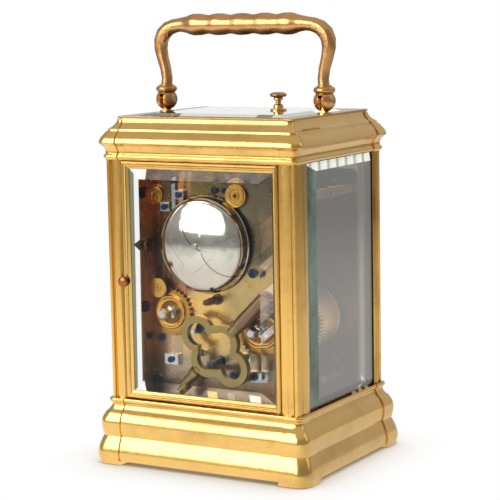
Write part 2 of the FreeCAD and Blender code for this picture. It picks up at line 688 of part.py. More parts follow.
# ==== movement frame ========================================================
pillars = []
for x, z in PLATE_PILLARS:
    c = (x, z)
    post = fuse(
        rod_y(c, FRONT_Y1, BACK_Y0, 2.3),
        rod_y(c, FRONT_Y1, FRONT_Y1 + 2.0, 2.7),
        rod_y(c, BACK_Y0 - 2.0, BACK_Y0, 2.7),
        rod_y(c, MID_Y - 1.75, MID_Y + 1.75, 2.7),
    )
    post = post.cut(fuse(rod_y(c, FRONT_Y1 - 1, FRONT_Y1 + 4, 1.25),
                         rod_y(c, BACK_Y0 - 4, BACK_Y0 + 1, 1.25)))
    if z < MID_Y + 50:             # the lower pair takes the base plate screws
        post = post.cut(rod_z((x, MID_Y), 20, z + 0.4, 1.25))
    pillars.append(post)
save("movement_pillars", *pillars)


def bores(centres, radius, y0=-30, y1=30):
    return [rod_y(c, y0, y1, radius) for c in centres]


def back_bores(centres, radius):
    return bores(centres, radius, 15, 25)


def movement_plate(y0, y1):
    """Plate with its two top corners cut off."""
    plate = box(-PLATE_X, PLATE_X, y0, y1, PLATE_Z0, PLATE_Z1)
    for s in (-1, 1):
        corner = [(s * (PLATE_X + 1), PLATE_Z1 + 1), (s * (PLATE_X - 3), PLATE_Z1 + 1),
                  (s * (PLATE_X + 1), PLATE_Z1 - 3)]
        plate = plate.cut(prism_y(corner, -30, 30))
    return plate


through = [rod_y(c, -30, 30, pivot + PIVOT_GAP) for c, _, pivot in ARBORS.values()]
through += bores([GOING, STRIKE], BARREL_PIVOT_R + PIVOT_GAP)
through += bores([SETTER, ALARM], SETTING_R + PIVOT_GAP) + bores(PLATE_PILLARS, 1.25)
platform_holes = [rod_z(c, 112, 120, 0.62) for c in PLATFORM_SCREWS]

# front plate, with two lugs for the repeat lever
x = BUTTON[0]
lugs = fuse(*[
    box(x0, x0 + 1.9, FRONT_Y0 + 0.1, FRONT_Y1 - 0.1, PLATE_Z1 - 0.5, LEVER_PIVOT[1] + 1.6)
    for x0 in (x - 3.4, x + 1.5)
])
save("front_plate", cut_all(
    movement_plate(FRONT_Y0, FRONT_Y1).fuse(lugs),
    through + [rod_x(LEVER_PIVOT, x - 6, x + 6, 0.7)] + platform_holes
    + bores([MINUTE], MINUTE_STUD_R + 0.05) + bores(DIAL_FEET, 1.05),
))

left_pin = (LEFT_DISC[0] - 2.4, LEFT_DISC[1])
right_pin = (RIGHT_DISC[0] - 2.9, RIGHT_DISC[1])
save("back_plate", cut_all(
    movement_plate(BACK_Y0, BACK_Y1),
    through + platform_holes
    + back_bores([row[:2] for row in BLUED_BLOCKS], 0.75)
    + back_bores([row[:2] for row in BACK_SCREWS], 0.85)
    + back_bores([GOING_CLICK, STRIKE_CLICK, HAMMER], 0.9)
    + back_bores([BELL], 1.5)
    + back_bores([right_pin, left_pin], 0.6)
    + back_bores([STRIP_SCREW], 0.65),
))


def screw_y(centre, seat_y, depth, head_r, r, head_h, turn):
    """Slotted screw whose head stands on seat_y, facing +Y."""
    screw = fuse(rod_y(centre, seat_y, seat_y + head_h, head_r),
                 rod_y(centre, seat_y - depth, seat_y + 0.1, r))
    c, s = math.cos(turn), math.sin(turn)
    slot = [(9, 0.28), (-9, 0.28), (-9, -0.28), (9, -0.28)]
    slot = shifted([(c * u - s * v, s * u + c * v) for u, v in slot], centre)
    return screw.cut(prism_y(slot, seat_y + head_h - 0.5, seat_y + head_h + 1))


def case_screw(x, y):
    """Screw up into a pillar; its head is trimmed to the hollow of the base."""
    c = (x, y)
    screw = fuse(rod_z(c, 20.0, 22.0, 2.2), rod_z(c, 21.5, 34.5, CASE_SCREW_R))
    screw = screw.cut(box(x - 5, x + 5, y - 0.35, y + 0.35, 19, 20.7))
    return screw.common(block(41.95, 35.75, 10, 22.0).fuse(rod_z(c, 21.9, 35, CASE_SCREW_R)))


screws = []
for i, (x, z) in enumerate(PLATE_PILLARS):
    screws.append(screw_y((x, z), BACK_Y1, 5.2, 2.3, 1.2, 1.2, 0.5 + i))
    front_screw = screw_y((x, z), 0, 5.2, 2.3, 1.2, 1.0, 0.2 + i)
    front_screw.rotate(Vec(x, 0, z), Vec(0, 0, 1), 180)
    front_screw.translate(Vec(0, FRONT_Y0, 0))
    screws.append(front_screw)
for i, (x, z, head_r) in enumerate(BACK_SCREWS):
    screws.append(screw_y((x, z), BACK_Y1, 1.9, head_r, 0.8, 1.1, 0.9 * i + 0.3))
for i, (x, z, _, _) in enumerate(BLUED_BLOCKS):
    screws.append(screw_y((x, z), BACK_Y1 + 2.0, 4.0, 1.35, 0.7, 0.9, 0.7 * i))
for c in PLATFORM_SCREWS:
    screws.append(fuse(rod_z(c, PLATFORM_TOP, 121.5, 1.0), rod_z(c, 115.5, 120.7, 0.58)))
for c in CASE_SCREWS:
    screws.append(case_screw(*c))
    screws.append(rod_z(c, 118.5, 132.5, CASE_SCREW_R))
for x, y in BED_SCREWS:
    bed_screw = fuse(rod_z((x, y), 23.0, BED_Z0, 2.8), rod_z((x, y), 24.5, 33.0, 1.2))
    screws.append(bed_screw.cut(box(x - 5, x + 5, y - 0.4, y + 0.4, 22, 23.7)))
screws.append(screw_y(STRIP_SCREW, BACK_Y1 + 1.2, 3.0, 1.35, 0.6, 0.9, 1.2))
for c in (GOING_CLICK, STRIKE_CLICK):
    screws.append(screw_y(c, BACK_Y1 + 2.0, 3.9, 1.7, 0.85, 0.9, 0.4))
screws.append(rod_y(MINUTE, -28.6, FRONT_Y1 - 0.2, MINUTE_STUD_R))     # minute wheel stud
save("screws", *screws)


# two round cocks, and a disc on the hammer post
def turned_face(centre, y, groove_r, groove_w, sink_r):
    """What is turned away from a disc face: a ring groove and a central sink."""
    groove = rod_y(centre, y - 0.35, y + 1, groove_r + groove_w)
    groove = groove.cut(rod_y(centre, y - 1, y + 2, groove_r))
    apex = Vec(centre[0], y - 0.55, centre[1])
    return fuse(groove, Part.makeCone(sink_r * 0.45, sink_r, 0.6, apex, Vec(0, 1, 0)))


def round_cock(centre, radius, height, groove_r, groove_w, sink_r, pin):
    top = BACK_Y1 + height
    cock = fuse(rod_y(centre, BACK_Y1, top - 0.5, radius),
                rod_y(centre, top - 0.6, top, radius - 0.7))
    cock = cock.cut(fuse(turned_face(centre, top, groove_r, groove_w, sink_r),
                         rod_y(centre, BACK_Y1 - 1, BACK_Y1 + 3, 0.45)))
    return cock.fuse(rod_y(pin, BACK_Y0 + 0.2, BACK_Y1 + 0.1, 0.6))


hammer_disc = rod_y(HAMMER, BACK_Y1 + 3.65, BACK_Y1 + 4.5, 3.95)
hammer_disc = hammer_disc.cut(turned_face(HAMMER, BACK_Y1 + 4.5, 1.35, 0.4, 0.75))
save(
    "back_plate_cocks",
    round_cock(RIGHT_DISC, 4.65, 2.1, 1.7, 0.75, 1.0, right_pin),
    fuse(rod_y(HAMMER, BACK_Y0 + 0.2, BACK_Y1 + 3.7, 0.85), hammer_disc),
    round_cock(LEFT_DISC, 4.0, 2.0, 1.5, 0.7, 0.95, left_pin),
)

# blued blocks, a narrow strip, the bell stand and a headed pin
steel = []
for x, z, w, h in BLUED_BLOCKS:
    piece = box(x - w / 2 - 0.9, x + w / 2 + 0.9, BACK_Y1, BACK_Y1 + 2.0,
                z - h / 2 - 0.5, z + h / 2 + 0.5)
    steel.append(piece.cut(rod_y((x, z), 20, 30, 0.75)))
strip = box(19.1, 20.8, BACK_Y1, BACK_Y1 + 1.2, 104.8, 118.4)
steel.append(strip.cut(rod_y(STRIP_SCREW, 20, 30, 0.65)))
steel.append(fuse(
    rod_y(BELL, BACK_Y0 + 0.3, BACK_Y1 + 0.1, 1.45),
    rod_y(BELL, BACK_Y1, 31.8, 1.9),
    rod_y(BELL, BACK_Y1, BACK_Y1 + 1.0, 3.4),
    rod_y(BELL, 31.7, 33.3, 0.75),
    rod_y(BELL, 32.85, 33.4, 1.15),
))
steel.append(rod_y((5.6, 47.0), BACK_Y1, 26.0, 1.0).fuse(rod_y((5.6, 47.0), 25.6, 26.4, 1.5)))
save("back_plate_steelwork", *steel)

# ==== barrels ===============================================================
BARREL_SQUARE = 4.1                # square that carries the ratchet
SQUARE_TURN = 0.35
RATCHET_Y0, RATCHET_Y1 = BACK_Y1 + 0.25, BACK_Y1 + 1.75
RATCHET_ROOT, RATCHET_TIP, RATCHET_TEETH = 8.7, 10.0, 30


def barrel(c, phase):
    great = toothed(c, GREAT_MESH[0], GREAT_MESH[2], phase, WHEEL_FLANK, 1.0, 3.0)
    drum = rod_y(c, -19.0, 1.2, 12.5)
    solid = fuse(great, drum, rod_y(c, -18.6, -17.4, 12.8))
    return solid.cut(fuse(rod_y(c, -17.8, 0.8, 11.5), rod_y(c, -30, 10, 3.05)))


def winding_arbor(c, end_y):
    arbor_body = fuse(
        rod_y(c, -19.4, 4.4, 3.0),
        rod_y(c, 17.2, 19.6, 3.0),
        rod_y(c, FRONT_Y0 + 0.1, BACK_Y1 + 0.2, BARREL_PIVOT_R),
        prism_y(square(c, BARREL_SQUARE, SQUARE_TURN), BACK_Y1 + 0.15, BACK_Y1 + 2.0),
    )
    arbor_body = fuse(
        arbor_body,
        rod_y(c, BACK_Y1 + 1.9, BACK_Y1 + 3.4, 1.95),
        prism_y(square(c, 3.1, SQUARE_TURN), BACK_Y1 + 3.3, end_y),
    )
    # bevel the end of the winding square
    cone = Part.makeCone(2.4, 1.4, 1.0, Vec(c[0], end_y - 1.0, c[1]), Vec(0, 1, 0))
    return arbor_body.common(fuse(box(-60, 60, -40, end_y - 0.5, 0, 150), cone))


def ratchet(c):
    """Slanted teeth with a dished ring on the face."""
    outline = []
    for k in range(RATCHET_TEETH):
        outline.append(polar(c, RATCHET_ROOT, 2 * math.pi * k / RATCHET_TEETH))
        outline.append(polar(c, RATCHET_TIP, 2 * math.pi * (k + 0.82) / RATCHET_TEETH))
    solid = prism_y(outline, RATCHET_Y0, RATCHET_Y1)
    # radius, height over the back plate
    ring = [(4.3, 1.5), (7.1, 1.5), (7.1, 2.3), (6.7, 2.75), (6.2, 2.75), (5.6, 2.2), (4.3, 2.0)]
    solid = solid.fuse(lathe_y(c, [(r, BACK_Y1 + h) for r, h in ring]))
    solid = solid.fuse(rod_y(c, BACK_Y1 + 1.7, BACK_Y1 + 1.95, 3.3))
    return solid.cut(prism_y(square(c, BARREL_SQUARE, SQUARE_TURN), BACK_Y1 - 1, BACK_Y1 + 5))


def click(c, pivot):
    """Click arm whose nose stands just clear of the ratchet teeth."""
    angle = bearing(c, pivot) + 0.5
    nose = polar(c, RATCHET_TIP + 0.2, angle)
    out_x, out_z = math.cos(angle), math.sin(angle)
    dx, dz = nose[0] - pivot[0], nose[1] - pivot[1]
    length = math.hypot(dx, dz)
    # unit vector across the arm, away from the ratchet
    tx, tz = -dz / length, dx / length
    if tx * out_x + tz * out_z < 0:
        tx, tz = -tx, -tz
    outline = [
        nose,
        (nose[0] + out_x * 1.5, nose[1] + out_z * 1.5),
        (pivot[0] + tx * 2.04, pivot[1] + tz * 2.04),
        (pivot[0] - tx * 0.3, pivot[1] - tz * 0.3),
    ]
    body = rod_y(pivot, RATCHET_Y0, RATCHET_Y1, 2.3)
    body = body.fuse(prism_y(outline, RATCHET_Y0, RATCHET_Y1))
    return body.cut(rod_y(pivot, 20, 30, 0.9))


going_phase = bearing(GOING, INTERMEDIATE)
strike_phase = bearing(STRIKE, STRIKE_2)
for name, c, phase, end_y, click_pivot in (
    ("going", GOING, going_phase, 30.4, GOING_CLICK),
    ("strike", STRIKE, strike_phase, 31.0, STRIKE_CLICK),
):
    save(name + "_barrel", barrel(c, phase))
    save(name + "_mainspring", prism_y(coil(c, 4.0, 11.1, 6, 14, 0.35), -16.6, -0.4))
    save(name + "_winding_arbor", winding_arbor(c, end_y))
    save(name + "_ratchet", ratchet(c))
    save(name + "_click", click(c, click_pivot))


# ==== trains ================================================================

def arbor(name, front_end=FRONT_Y0 + 0.1):
    """Plain arbor between the plates with a thinner pivot at each end."""
    c, body_r, pivot_r = ARBORS[name]
    return fuse(rod_y(c, FRONT_Y1 + 0.2, BACK_Y0 - 0.2, body_r),
                rod_y(c, front_end, BACK_Y1 - 0.2, pivot_r))


def pinion(c, mesh, phase, y0, y1):
    """The second member of a mesh."""
    return toothed(c, mesh[1], mesh[2], phase, PINION_FLANK, y0, y1)


def train_wheel(name, driver, driver_phase, mesh_in, mesh_out, driven,
                pinion_y, wheel_y, hub_r, collar_y, collar_r, **arbor_options):
    """Save an arbor with pinion, crossed-out wheel and collar; return the wheel's phase."""
    c = ARBORS[name][0]
    teeth, _, module = mesh_out
    phase = bearing(c, driven)
    wheel = toothed(c, teeth, module, phase, WHEEL_FLANK, *wheel_y)
    rim_r = module * teeth / 2.0 - 0.95 * module - 1.0
    wheel = cut_all(wheel, crossings(c, hub_r, rim_r, *wheel_y))
    leaves = pinion(c, mesh_in, mesh_phase(driver, driver_phase, c, mesh_in), *pinion_y)
    save(name, fuse(arbor(name, **arbor_options), leaves, wheel, rod_y(c, *collar_y, collar_r)))
    return phase


phase = train_wheel(
    "intermediate_wheel", GOING, going_phase, GREAT_MESH, INTERMEDIATE_MESH, CENTRE,
    pinion_y=(0.4, 3.6), wheel_y=(6.0, 7.4), hub_r=3.4, collar_y=(3.6, 8.2), collar_r=2.2)
# the centre arbor runs on through the front plate and carries the cannon pinion
phase = train_wheel(
    "centre_wheel", INTERMEDIATE, phase, INTERMEDIATE_MESH, CENTRE_MESH, THIRD,
    pinion_y=(5.2, 8.2), wheel_y=(-14.4, -13.0), hub_r=3.4, collar_y=(-13.0, -11.0),
    collar_r=2.4, front_end=-33.0)
third_phase = train_wheel(
    "third_wheel", CENTRE, phase, CENTRE_MESH, THIRD_MESH, CONTRATE,
    pinion_y=(-15.4, -12.0), wheel_y=(-8.2, -7.0), hub_r=2.8, collar_y=(-8.2, -5.8),
    collar_r=1.8)
phase = train_wheel(
    "strike_second_wheel", STRIKE, strike_phase, GREAT_MESH, STRIKE_2_MESH, STRIKE_3,
    pinion_y=(0.4, 3.6), wheel_y=(9.6, 11.0), hub_r=3.2, collar_y=(9.6, 12.2), collar_r=2.0)
strike_3_phase = train_wheel(
    "strike_third_wheel", STRIKE_2, phase, STRIKE_2_MESH, STRIKE_3_MESH, FLY,
    pinion_y=(8.8, 11.8), wheel_y=(14.4, 15.6), hub_r=2.6, collar_y=(13.2, 15.6), collar_r=1.7)


def contrate_wheel():
    """Cup whose crown teeth point to +Y."""
    c = CONTRATE
    teeth, _, module = CROWN_MESH
    r = module * teeth / 2.0
    wall = rod_y(c, -1.2, 0.62, r + 0.5).cut(rod_y(c, -1.0, 1, r - 0.5))
    cup = fuse(rod_y(c, -2.0, -1.0, r + 0.5), wall)
    cup = cut_all(cup, crossings(c, 2.6, r - 1.2, -2.0, -1.0, 1.4))
    outline = [(-0.15, 0.5), (0.15, 0.5), (0.15, 0.9), (0.07, 1.16), (-0.07, 1.16), (-0.15, 0.9)]
    crown = []
    for k in range(teeth):
        tooth = prism_z(outline, r - 0.43, r + 0.43)
        tooth.rotate(Vec(0, 0, 0), Vec(0, 1, 0), -360.0 * k / teeth)
        tooth.translate(Vec(c[0], 0, c[1]))
        crown.append(tooth)
    leaf_phase = mesh_phase(THIRD, third_phase, c, THIRD_MESH)
    return fuse(arbor("contrate_wheel"), pinion(c, THIRD_MESH, leaf_phase, -9.2, -6.0),
                rod_y(c, -3.2, -1.0, 1.7), cup.multiFuse(crown))


save("contrate_wheel", contrate_wheel())
fly_phase = mesh_phase(STRIKE_3, strike_3_phase, FLY, STRIKE_3_MESH)
save("strike_fly", fuse(
    arbor("strike_fly"),
    pinion(FLY, STRIKE_3_MESH, fly_phase, 13.6, 16.6),
    box(FLY[0] - 5.6, FLY[0] + 5.6, 2.4, 12.4, FLY[1] - 0.3, FLY[1] + 0.3),
    rod_y(FLY, 2.4, 12.4, 1.2),
))

# ==== motion work and dial ==================================================
cannon_phase = bearing(CENTRE, MINUTE)
cannon = fuse(toothed(CENTRE, 12, 0.5, cannon_phase, PINION_FLANK, -26.3, -24.2),
              rod_y(CENTRE, -32.7, -24.2, 1.7))
save("cannon_pinion", cannon.cut(rod_y(CENTRE, -40, 0, 1.0)))

minute_phase = mesh_phase(CENTRE, cannon_phase, MINUTE, CANNON_MESH)
leaf_phase = bearing(MINUTE, CENTRE)
minute_wheel = fuse(toothed(MINUTE, 36, 0.5, minute_phase, WHEEL_FLANK, -26.1, -24.6),
                    toothed(MINUTE, 10, 0.48, leaf_phase, PINION_FLANK, -28.5, -26.0))
save("minute_wheel", minute_wheel.cut(rod_y(MINUTE, -40, 0, MINUTE_STUD_R + 0.05)))

hour_phase = mesh_phase(MINUTE, leaf_phase, CENTRE, HOUR_MESH)
hour_wheel = fuse(toothed(CENTRE, 40, 0.48, hour_phase, WHEEL_FLANK, -28.2, -26.9),
                  rod_y(CENTRE, -31.5, -26.9, 2.6))
save("hour_wheel", hour_wheel.cut(rod_y(CENTRE, -40, 0, 1.75)))

setter_phase = mesh_phase(MINUTE, minute_phase, SETTER, SETTER_MESH)
save("hand_setting_arbor", fuse(
    pinion(SETTER, SETTER_MESH, setter_phase, -26.1, -24.4),
    rod_y(SETTER, -26.1, 4.6, SETTING_R),
    rod_y(SETTER, 4.4, 9.2, 0.6),
    rod_y(SETTER, 9.0, 28.8, SETTING_R),
    rod_y(SETTER, BACK_Y1 + 0.2, BACK_Y1 + 1.0, 2.2),
    rod_y(SETTER, BACK_Y1 + 0.9, 28.6, 1.5),
    prism_y(square(SETTER, 1.9, 0.2), 28.5, 32.0),
))

dial = box(-34.4, 34.4, -30.6, -29.1, 28.4, 123.6)
dial = dial.cut(fuse(rod_y(CENTRE, -40, 0, 2.9), rod_y(ALARM, -40, 0, 1.35)))
save("dial", dial.multiFuse(bores(DIAL_FEET, 1.0, -29.3, FRONT_Y1 - 1.0)))

# one edge of a hand: (distance from its line in half widths, height in lengths)
HOUR_EDGE = [(1, 0), (0.8, 0.45), (2.6, 0.62), (2.3, 0.74), (0.7, 0.84)]
MINUTE_EDGE = [(1, 0), (0.75, 0.6), (1.7, 0.7), (1.4, 0.78), (0.5, 0.86)]


def hand(c, length, y0, half_w, hole_r, turn, edge, eye=False):
    """Slim hand pointing to +Z, then turned clockwise (from the front) by turn degrees."""
    y1 = y0 + 0.5
    outline = [(-half_w * w, length * h) for w, h in edge] + [(0, length)]
    outline += [(half_w * w, length * h) for w, h in reversed(edge)]
    body = rod_y(c, y0, y1, hole_r + 1.1).fuse(prism_y(shifted(outline, c), y0, y1))
    if eye:
        body = body.cut(rod_y((c[0], c[1] + length * 0.68), y0 - 1, y1 + 1, half_w * 1.1))
    body = body.cut(rod_y(c, y0 - 1, y1 + 1, hole_r))
    body.rotate(Vec(c[0], 0, c[1]), Vec(0, 1, 0), turn)
    return body


save("hour_hand", hand(CENTRE, 15.5, -31.5, 0.75, 2.6, 305, HOUR_EDGE, eye=True))
save("minute_hand", hand(CENTRE, 23.5, -32.6, 0.6, 1.7, 60, MINUTE_EDGE))
alarm = fuse(
    rod_y(ALARM, -31.6, 27.5, SETTING_R),
    rod_y(ALARM, BACK_Y1 + 0.2, BACK_Y1 + 1.0, 2.0),
    rod_y(ALARM, BACK_Y1 + 0.9, 27.0, 1.4),
    prism_y(square(ALARM, 1.9, 0.5), 26.8, 30.2),
)
save("alarm_arbor", alarm.fuse(hand(ALARM, 7.6, -31.6, 0.45, 0.5, 0, MINUTE_EDGE)))

# ==== platform escapement ===================================================
platform = box(-26.0, 7.0, FRONT_Y0, BACK_Y1, PLATE_Z1, PLATFORM_TOP)
platform = cut_all(platform, [
    rod_z(c, 118, 122, r)
    for c, r in [(ESCAPE, 1.5), (PALLET, 0.45), (BALANCE, 0.45)]
    + [(c, 0.62) for c in PLATFORM_SCREWS]
])
# clearance for the lugs of the repeat lever
platform = platform.cut(box(BUTTON[0] - 3.6, BUTTON[0] + 3.6, FRONT_Y0 - 1, FRONT_Y1 + 0.2,
                            118, 122))
# potence below the platform carries the lower escape pivot
potence = fuse(
    box(-1.6, 1.6, 5.2, 7.4, 112.6, 119.0),
    box(-1.3, 1.3, ESCAPE[1] - 0.2, 5.4, 112.6, 114.2),
    rod_z(ESCAPE, 112.6, 114.2, 1.3),
).cut(rod_z(ESCAPE, 110, 115, 0.35))
save("platform_plate", platform.fuse(potence))

ESCAPE_TEETH = 15
# tooth and window outlines as (radius, angle)
ESCAPE_TOOTH = [(3.3, 0), (4.3, 0.10), (4.25, 0.16), (3.3, 0.17)]
ESCAPE_WINDOW = [(1.1, 0.35), (2.7, 0.12), (2.7, 0.47), (2.7, 0.82), (2.7, 1.17),
                 (2.7, 1.42), (1.1, 1.2)]


def escape_wheel():
    outline = []
    for k in range(ESCAPE_TEETH):
        start = 2 * math.pi * k / ESCAPE_TEETH
        outline += [polar(ESCAPE, r, start + angle) for r, angle in ESCAPE_TOOTH]
    wheel = prism_z(outline, 122.2, 122.7)
    for k in range(ARMS):
        start = k * math.pi / 2 + ARMS_TURN
        window = [polar(ESCAPE, r, start + angle) for r, angle in ESCAPE_WINDOW]
        wheel = wheel.cut(prism_z(window, 121, 124))
    _, leaves, module = CROWN_MESH
    leaf_outline = gear_outline(ESCAPE, leaves, module, -math.pi / 2 + math.pi / leaves,
                                ESCAPE_PINION_FLANK)
    return fuse(
        wheel,
        rod_z(ESCAPE, 121.3, 123.0, 0.8),
        rod_z(ESCAPE, 117.4, 123.0, 0.62),
        prism_z(leaf_outline, 115.6, 118.2),
        rod_z(ESCAPE, 115.3, 117.6, 0.55),
        rod_z(ESCAPE, 113.0, 124.2, 0.3),
        rod_z(ESCAPE, 114.5, 115.7, 0.55),
    )


save("escape_wheel", escape_wheel())

# pallet lever about its pivot: fork towards the balance (-X), pallets towards the wheel (+X)
LEVER_OUTLINE = [
    (-5.6, -0.35), (-5.6, -0.8), (-4.9, -0.8), (-4.4, -0.4), (0, -0.45), (0.6, -0.5),
    (2.0, -3.1), (2.7, -2.8), (0.9, 0), (2.7, 2.8), (2.0, 3.1), (0.6, 0.5), (0, 0.45),
    (-4.4, 0.4), (-4.9, 0.8), (-5.6, 0.8), (-5.6, 0.35), (-5.0, 0),
]
save("pallet_lever", fuse(
    prism_z(shifted(LEVER_OUTLINE, PALLET), 122.2, 122.7),
    rod_z(PALLET, 121.4, 123.0, 0.7),
    rod_z(PALLET, 119.2, 124.2, 0.4),
))

BALANCE_R = 8.5
RIM_SCREWS = 14


def balance_wheel():
    c = BALANCE
    x, y = c
    ring = rod_z(c, 125.3, 126.7, BALANCE_R).cut(rod_z(c, 124, 128, BALANCE_R - 0.9))
    rim_screws = []
    for k in range(RIM_SCREWS):
        angle = 2 * math.pi * (k + 0.5) / RIM_SCREWS
        foot = Vec(*polar(c, BALANCE_R - 0.1, angle), 126.0)
        out = Vec(math.cos(angle), math.sin(angle), 0)
        rim_screws.append(Part.makeCylinder(0.42, 0.6, foot, out))
    bar = box(x - BALANCE_R + 0.5, x + BALANCE_R - 0.5, y - 0.55, y + 0.55, 125.7, 126.4)
    return fuse(
        ring, bar,
        rod_z(c, 121.4, 128.0, 0.7),
        rod_z(c, 119.2, 129.4, 0.4),
        rod_z(c, 122.9, 123.6, 2.2),
        rod_z((x + 1.7, y), 122.2, 123.0, 0.35),
        rod_z(c, 127.0, 127.8, 1.0),
        *rim_screws,
    )


save("balance_wheel", balance_wheel())
save("hairspring", prism_z(coil(BALANCE, 1.25, 4.6, 7, 16, 0.12), 127.15, 127.65))

# balance cock, then the lower cock over the escape wheel and pallets
x, y = BALANCE
balance_cock = fuse(
    prism_z([(x - 3.6, 12.4), (x + 3.6, 12.4), (x + 4.4, 19.0), (x - 4.4, 19.0)],
            PLATFORM_TOP, 128.4),
    prism_z([(x - 4.4, 19.0), (x + 4.4, 19.0), (x + 3.2, 10.0), (x + 2.2, y),
             (x + 1.5, y - 1.8), (x - 1.5, y - 1.8), (x - 2.2, y), (x - 3.2, 10.0)],
            128.4, 129.8),
).cut(rod_z(BALANCE, 127, 131, 0.45))
x, y = PALLET
escape_cock = fuse(
    box(-2.6, 4.4, -9.4, -5.4, PLATFORM_TOP, 123.5),
    prism_z([(-2.6, -9.4), (4.4, -9.4), (4.4, -5.0), (1.3, ESCAPE[1] + 0.6),
             (0.0, ESCAPE[1] + 1.4), (x - 0.9, y + 1.2), (x - 1.2, y - 0.8), (-2.6, -5.4)],
            123.5, 124.5),
).cut(fuse(rod_z(ESCAPE, 123, 125, 0.35), rod_z(PALLET, 123, 125, 0.45)))
save("platform_cocks", balance_cock, escape_cock)

# ==== bell and hammer =======================================================
BELL_Y = 23.75                     # bell mouth
# (radius, y) from the mouth to the crown
BELL_OUTER = [
    (19.9, BELL_Y), (19.9, 24.5), (19.75, 25.6), (19.4, 27.0), (18.7, 28.4),
    (17.4, 29.45), (15.2, 30.35), (11.5, 31.4), (6.5, 32.35), (0.0, 32.8),
]
BELL_INNER = [
    (19.1, BELL_Y), (19.1, 24.4), (18.95, 25.4), (18.6, 26.6), (17.95, 27.75),
    (16.75, 28.65), (14.8, 29.5), (11.3, 30.55), (6.4, 31.5), (0.0, 31.95),
]
BELL_LIP = [(19.15, BELL_Y), (20.15, BELL_Y), (20.15, 24.35), (19.85, 24.6), (19.15, 24.6)]


def dome(curve):
    return smooth_lathe(Vec(BELL[0], 0, BELL[1]), Vec(0, 1, 0), Vec(1, 0, 0), curve,
                        [(0.0, BELL_Y)])


bell = dome(BELL_OUTER).cut(dome(BELL_INNER)).cut(rod_y(BELL, 20, 40, 0.8))
save("bell", bell.fuse(lathe_y(BELL, BELL_LIP)))


def hammer():
    """Bent wire arm on a hub, with a turned head on its upper end."""
    x, z = HAMMER
    head_x, head_y = 33.2, 26.2
    points = [
        Vec(x + 0.9, BACK_Y1 + 2.8, z + 1.4), Vec(x + 2.3, head_y - 1.35, z + 4.4),
        Vec(31.3, head_y - 0.4, 80.6), Vec(33.0, head_y, 85.4), Vec(head_x, head_y, 88.6),
    ]
    curve = Part.BSplineCurve()
    curve.interpolate(points)
    path = Part.Wire([curve.toShape()])
    start_dir = curve.tangent(curve.FirstParameter)[0]
    section = Part.Wire([Part.makeCircle(0.6, points[0], start_dir)])
    arm = path.makePipeShell([section], True, True)
    head = smooth_lathe(
        Vec(0, head_y, 90.0), Vec(1, 0, 0), Vec(0, 0, 1),
        [(2.7, 29.9), (3.05, 30.2), (3.1, 31.4), (2.8, 33.2), (2.1, 35.0), (1.2, 36.6),
         (0.75, 37.6), (0.0, 38.1)],
        [(0.0, 29.9)],
    )
    hub = rod_y(HAMMER, BACK_Y1 + 2.0, BACK_Y1 + 3.35, 2.2)
    return fuse(hub, arm, head).cut(rod_y(HAMMER, 15, 30, 0.9))


save("hammer", hammer())

# ==== winding key, between the back plate and the door ======================
KEY = (-1.9, 48.8)
KEY_Y0, KEY_Y1 = 27.4, 30.2
PIPE_ANGLE = math.radians(135.0)   # direction of the thick pipe
LOBE_ANGLE = math.radians(40.0)    # direction of the long lobes
# lobes of the bow: direction, distance out, radius
LOBES = [
    (LOBE_ANGLE, 10.2, 7.5), (LOBE_ANGLE + math.pi, 10.2, 7.5),
    (PIPE_ANGLE, 4.9, 7.4), (PIPE_ANGLE + math.pi, 4.9, 7.4), (0.0, 0.0, 10.4),
]
# shafts: side, start radius, end radius, start and end distance from the middle
SHAFTS = [
    (1, 2.3, 2.3, 10.8, 16.5), (1, 2.9, 2.8, 16.3, 33.5),
    (-1, 1.9, 1.9, 10.8, 13.6), (-1, 2.75, 2.6, 12.6, 15.0), (-1, 2.1, 1.8, 15.0, 24.0),
]
pipe_dir = Vec(math.cos(PIPE_ANGLE), 0, math.sin(PIPE_ANGLE))
key_middle = Vec(KEY[0], (KEY_Y0 + KEY_Y1) / 2, KEY[1])


def lobed(less, y0, y1):
    discs = [rod_y(polar(KEY, out, angle), y0, y1, r - less) for angle, out, r in LOBES]
    return fuse(*discs)


def shaft(side, r0, r1, start, end):
    axis = pipe_dir * side
    foot = key_middle + axis * start
    if r0 == r1:
        return Part.makeCylinder(r0, end - start, foot, axis)
    return Part.makeCone(r0, r1, end - start, foot, axis)


bow = lobed(0.0, KEY_Y0, KEY_Y1).cut(lobed(2.9, KEY_Y0 - 1, KEY_Y1 + 1))
key = fuse(bow, *[shaft(*row) for row in SHAFTS])
save("winding_key", key.cut(Part.makeCylinder(1.6, 9.0, key_middle + pipe_dir * 26.5, pipe_dir)))
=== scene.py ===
# A brass and glass carriage clock, seen from behind. It stands on z = 0 with +Z up; the dial
# faces -Y (front), the door is on the +Y side (rear) and the right pane is on the -X side.
# The pieces come from CAD; this script adds materials, dial markings, a floor, lights and a camera.
import math

import bpy
from mathutils import Matrix, Vector


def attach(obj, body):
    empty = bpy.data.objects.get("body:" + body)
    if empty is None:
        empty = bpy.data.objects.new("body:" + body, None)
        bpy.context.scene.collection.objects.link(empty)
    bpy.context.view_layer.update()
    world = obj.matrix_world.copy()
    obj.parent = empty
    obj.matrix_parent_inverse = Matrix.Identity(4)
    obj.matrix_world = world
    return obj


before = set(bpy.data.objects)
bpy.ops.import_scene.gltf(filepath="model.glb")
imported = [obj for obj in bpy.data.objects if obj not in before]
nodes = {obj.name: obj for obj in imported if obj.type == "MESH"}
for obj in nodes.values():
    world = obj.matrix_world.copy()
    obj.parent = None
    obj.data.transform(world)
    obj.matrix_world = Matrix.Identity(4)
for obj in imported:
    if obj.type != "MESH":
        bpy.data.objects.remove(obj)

scene = bpy.context.scene
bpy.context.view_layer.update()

MM = 0.001


# ---- shader helpers -----------------------------------------------------------


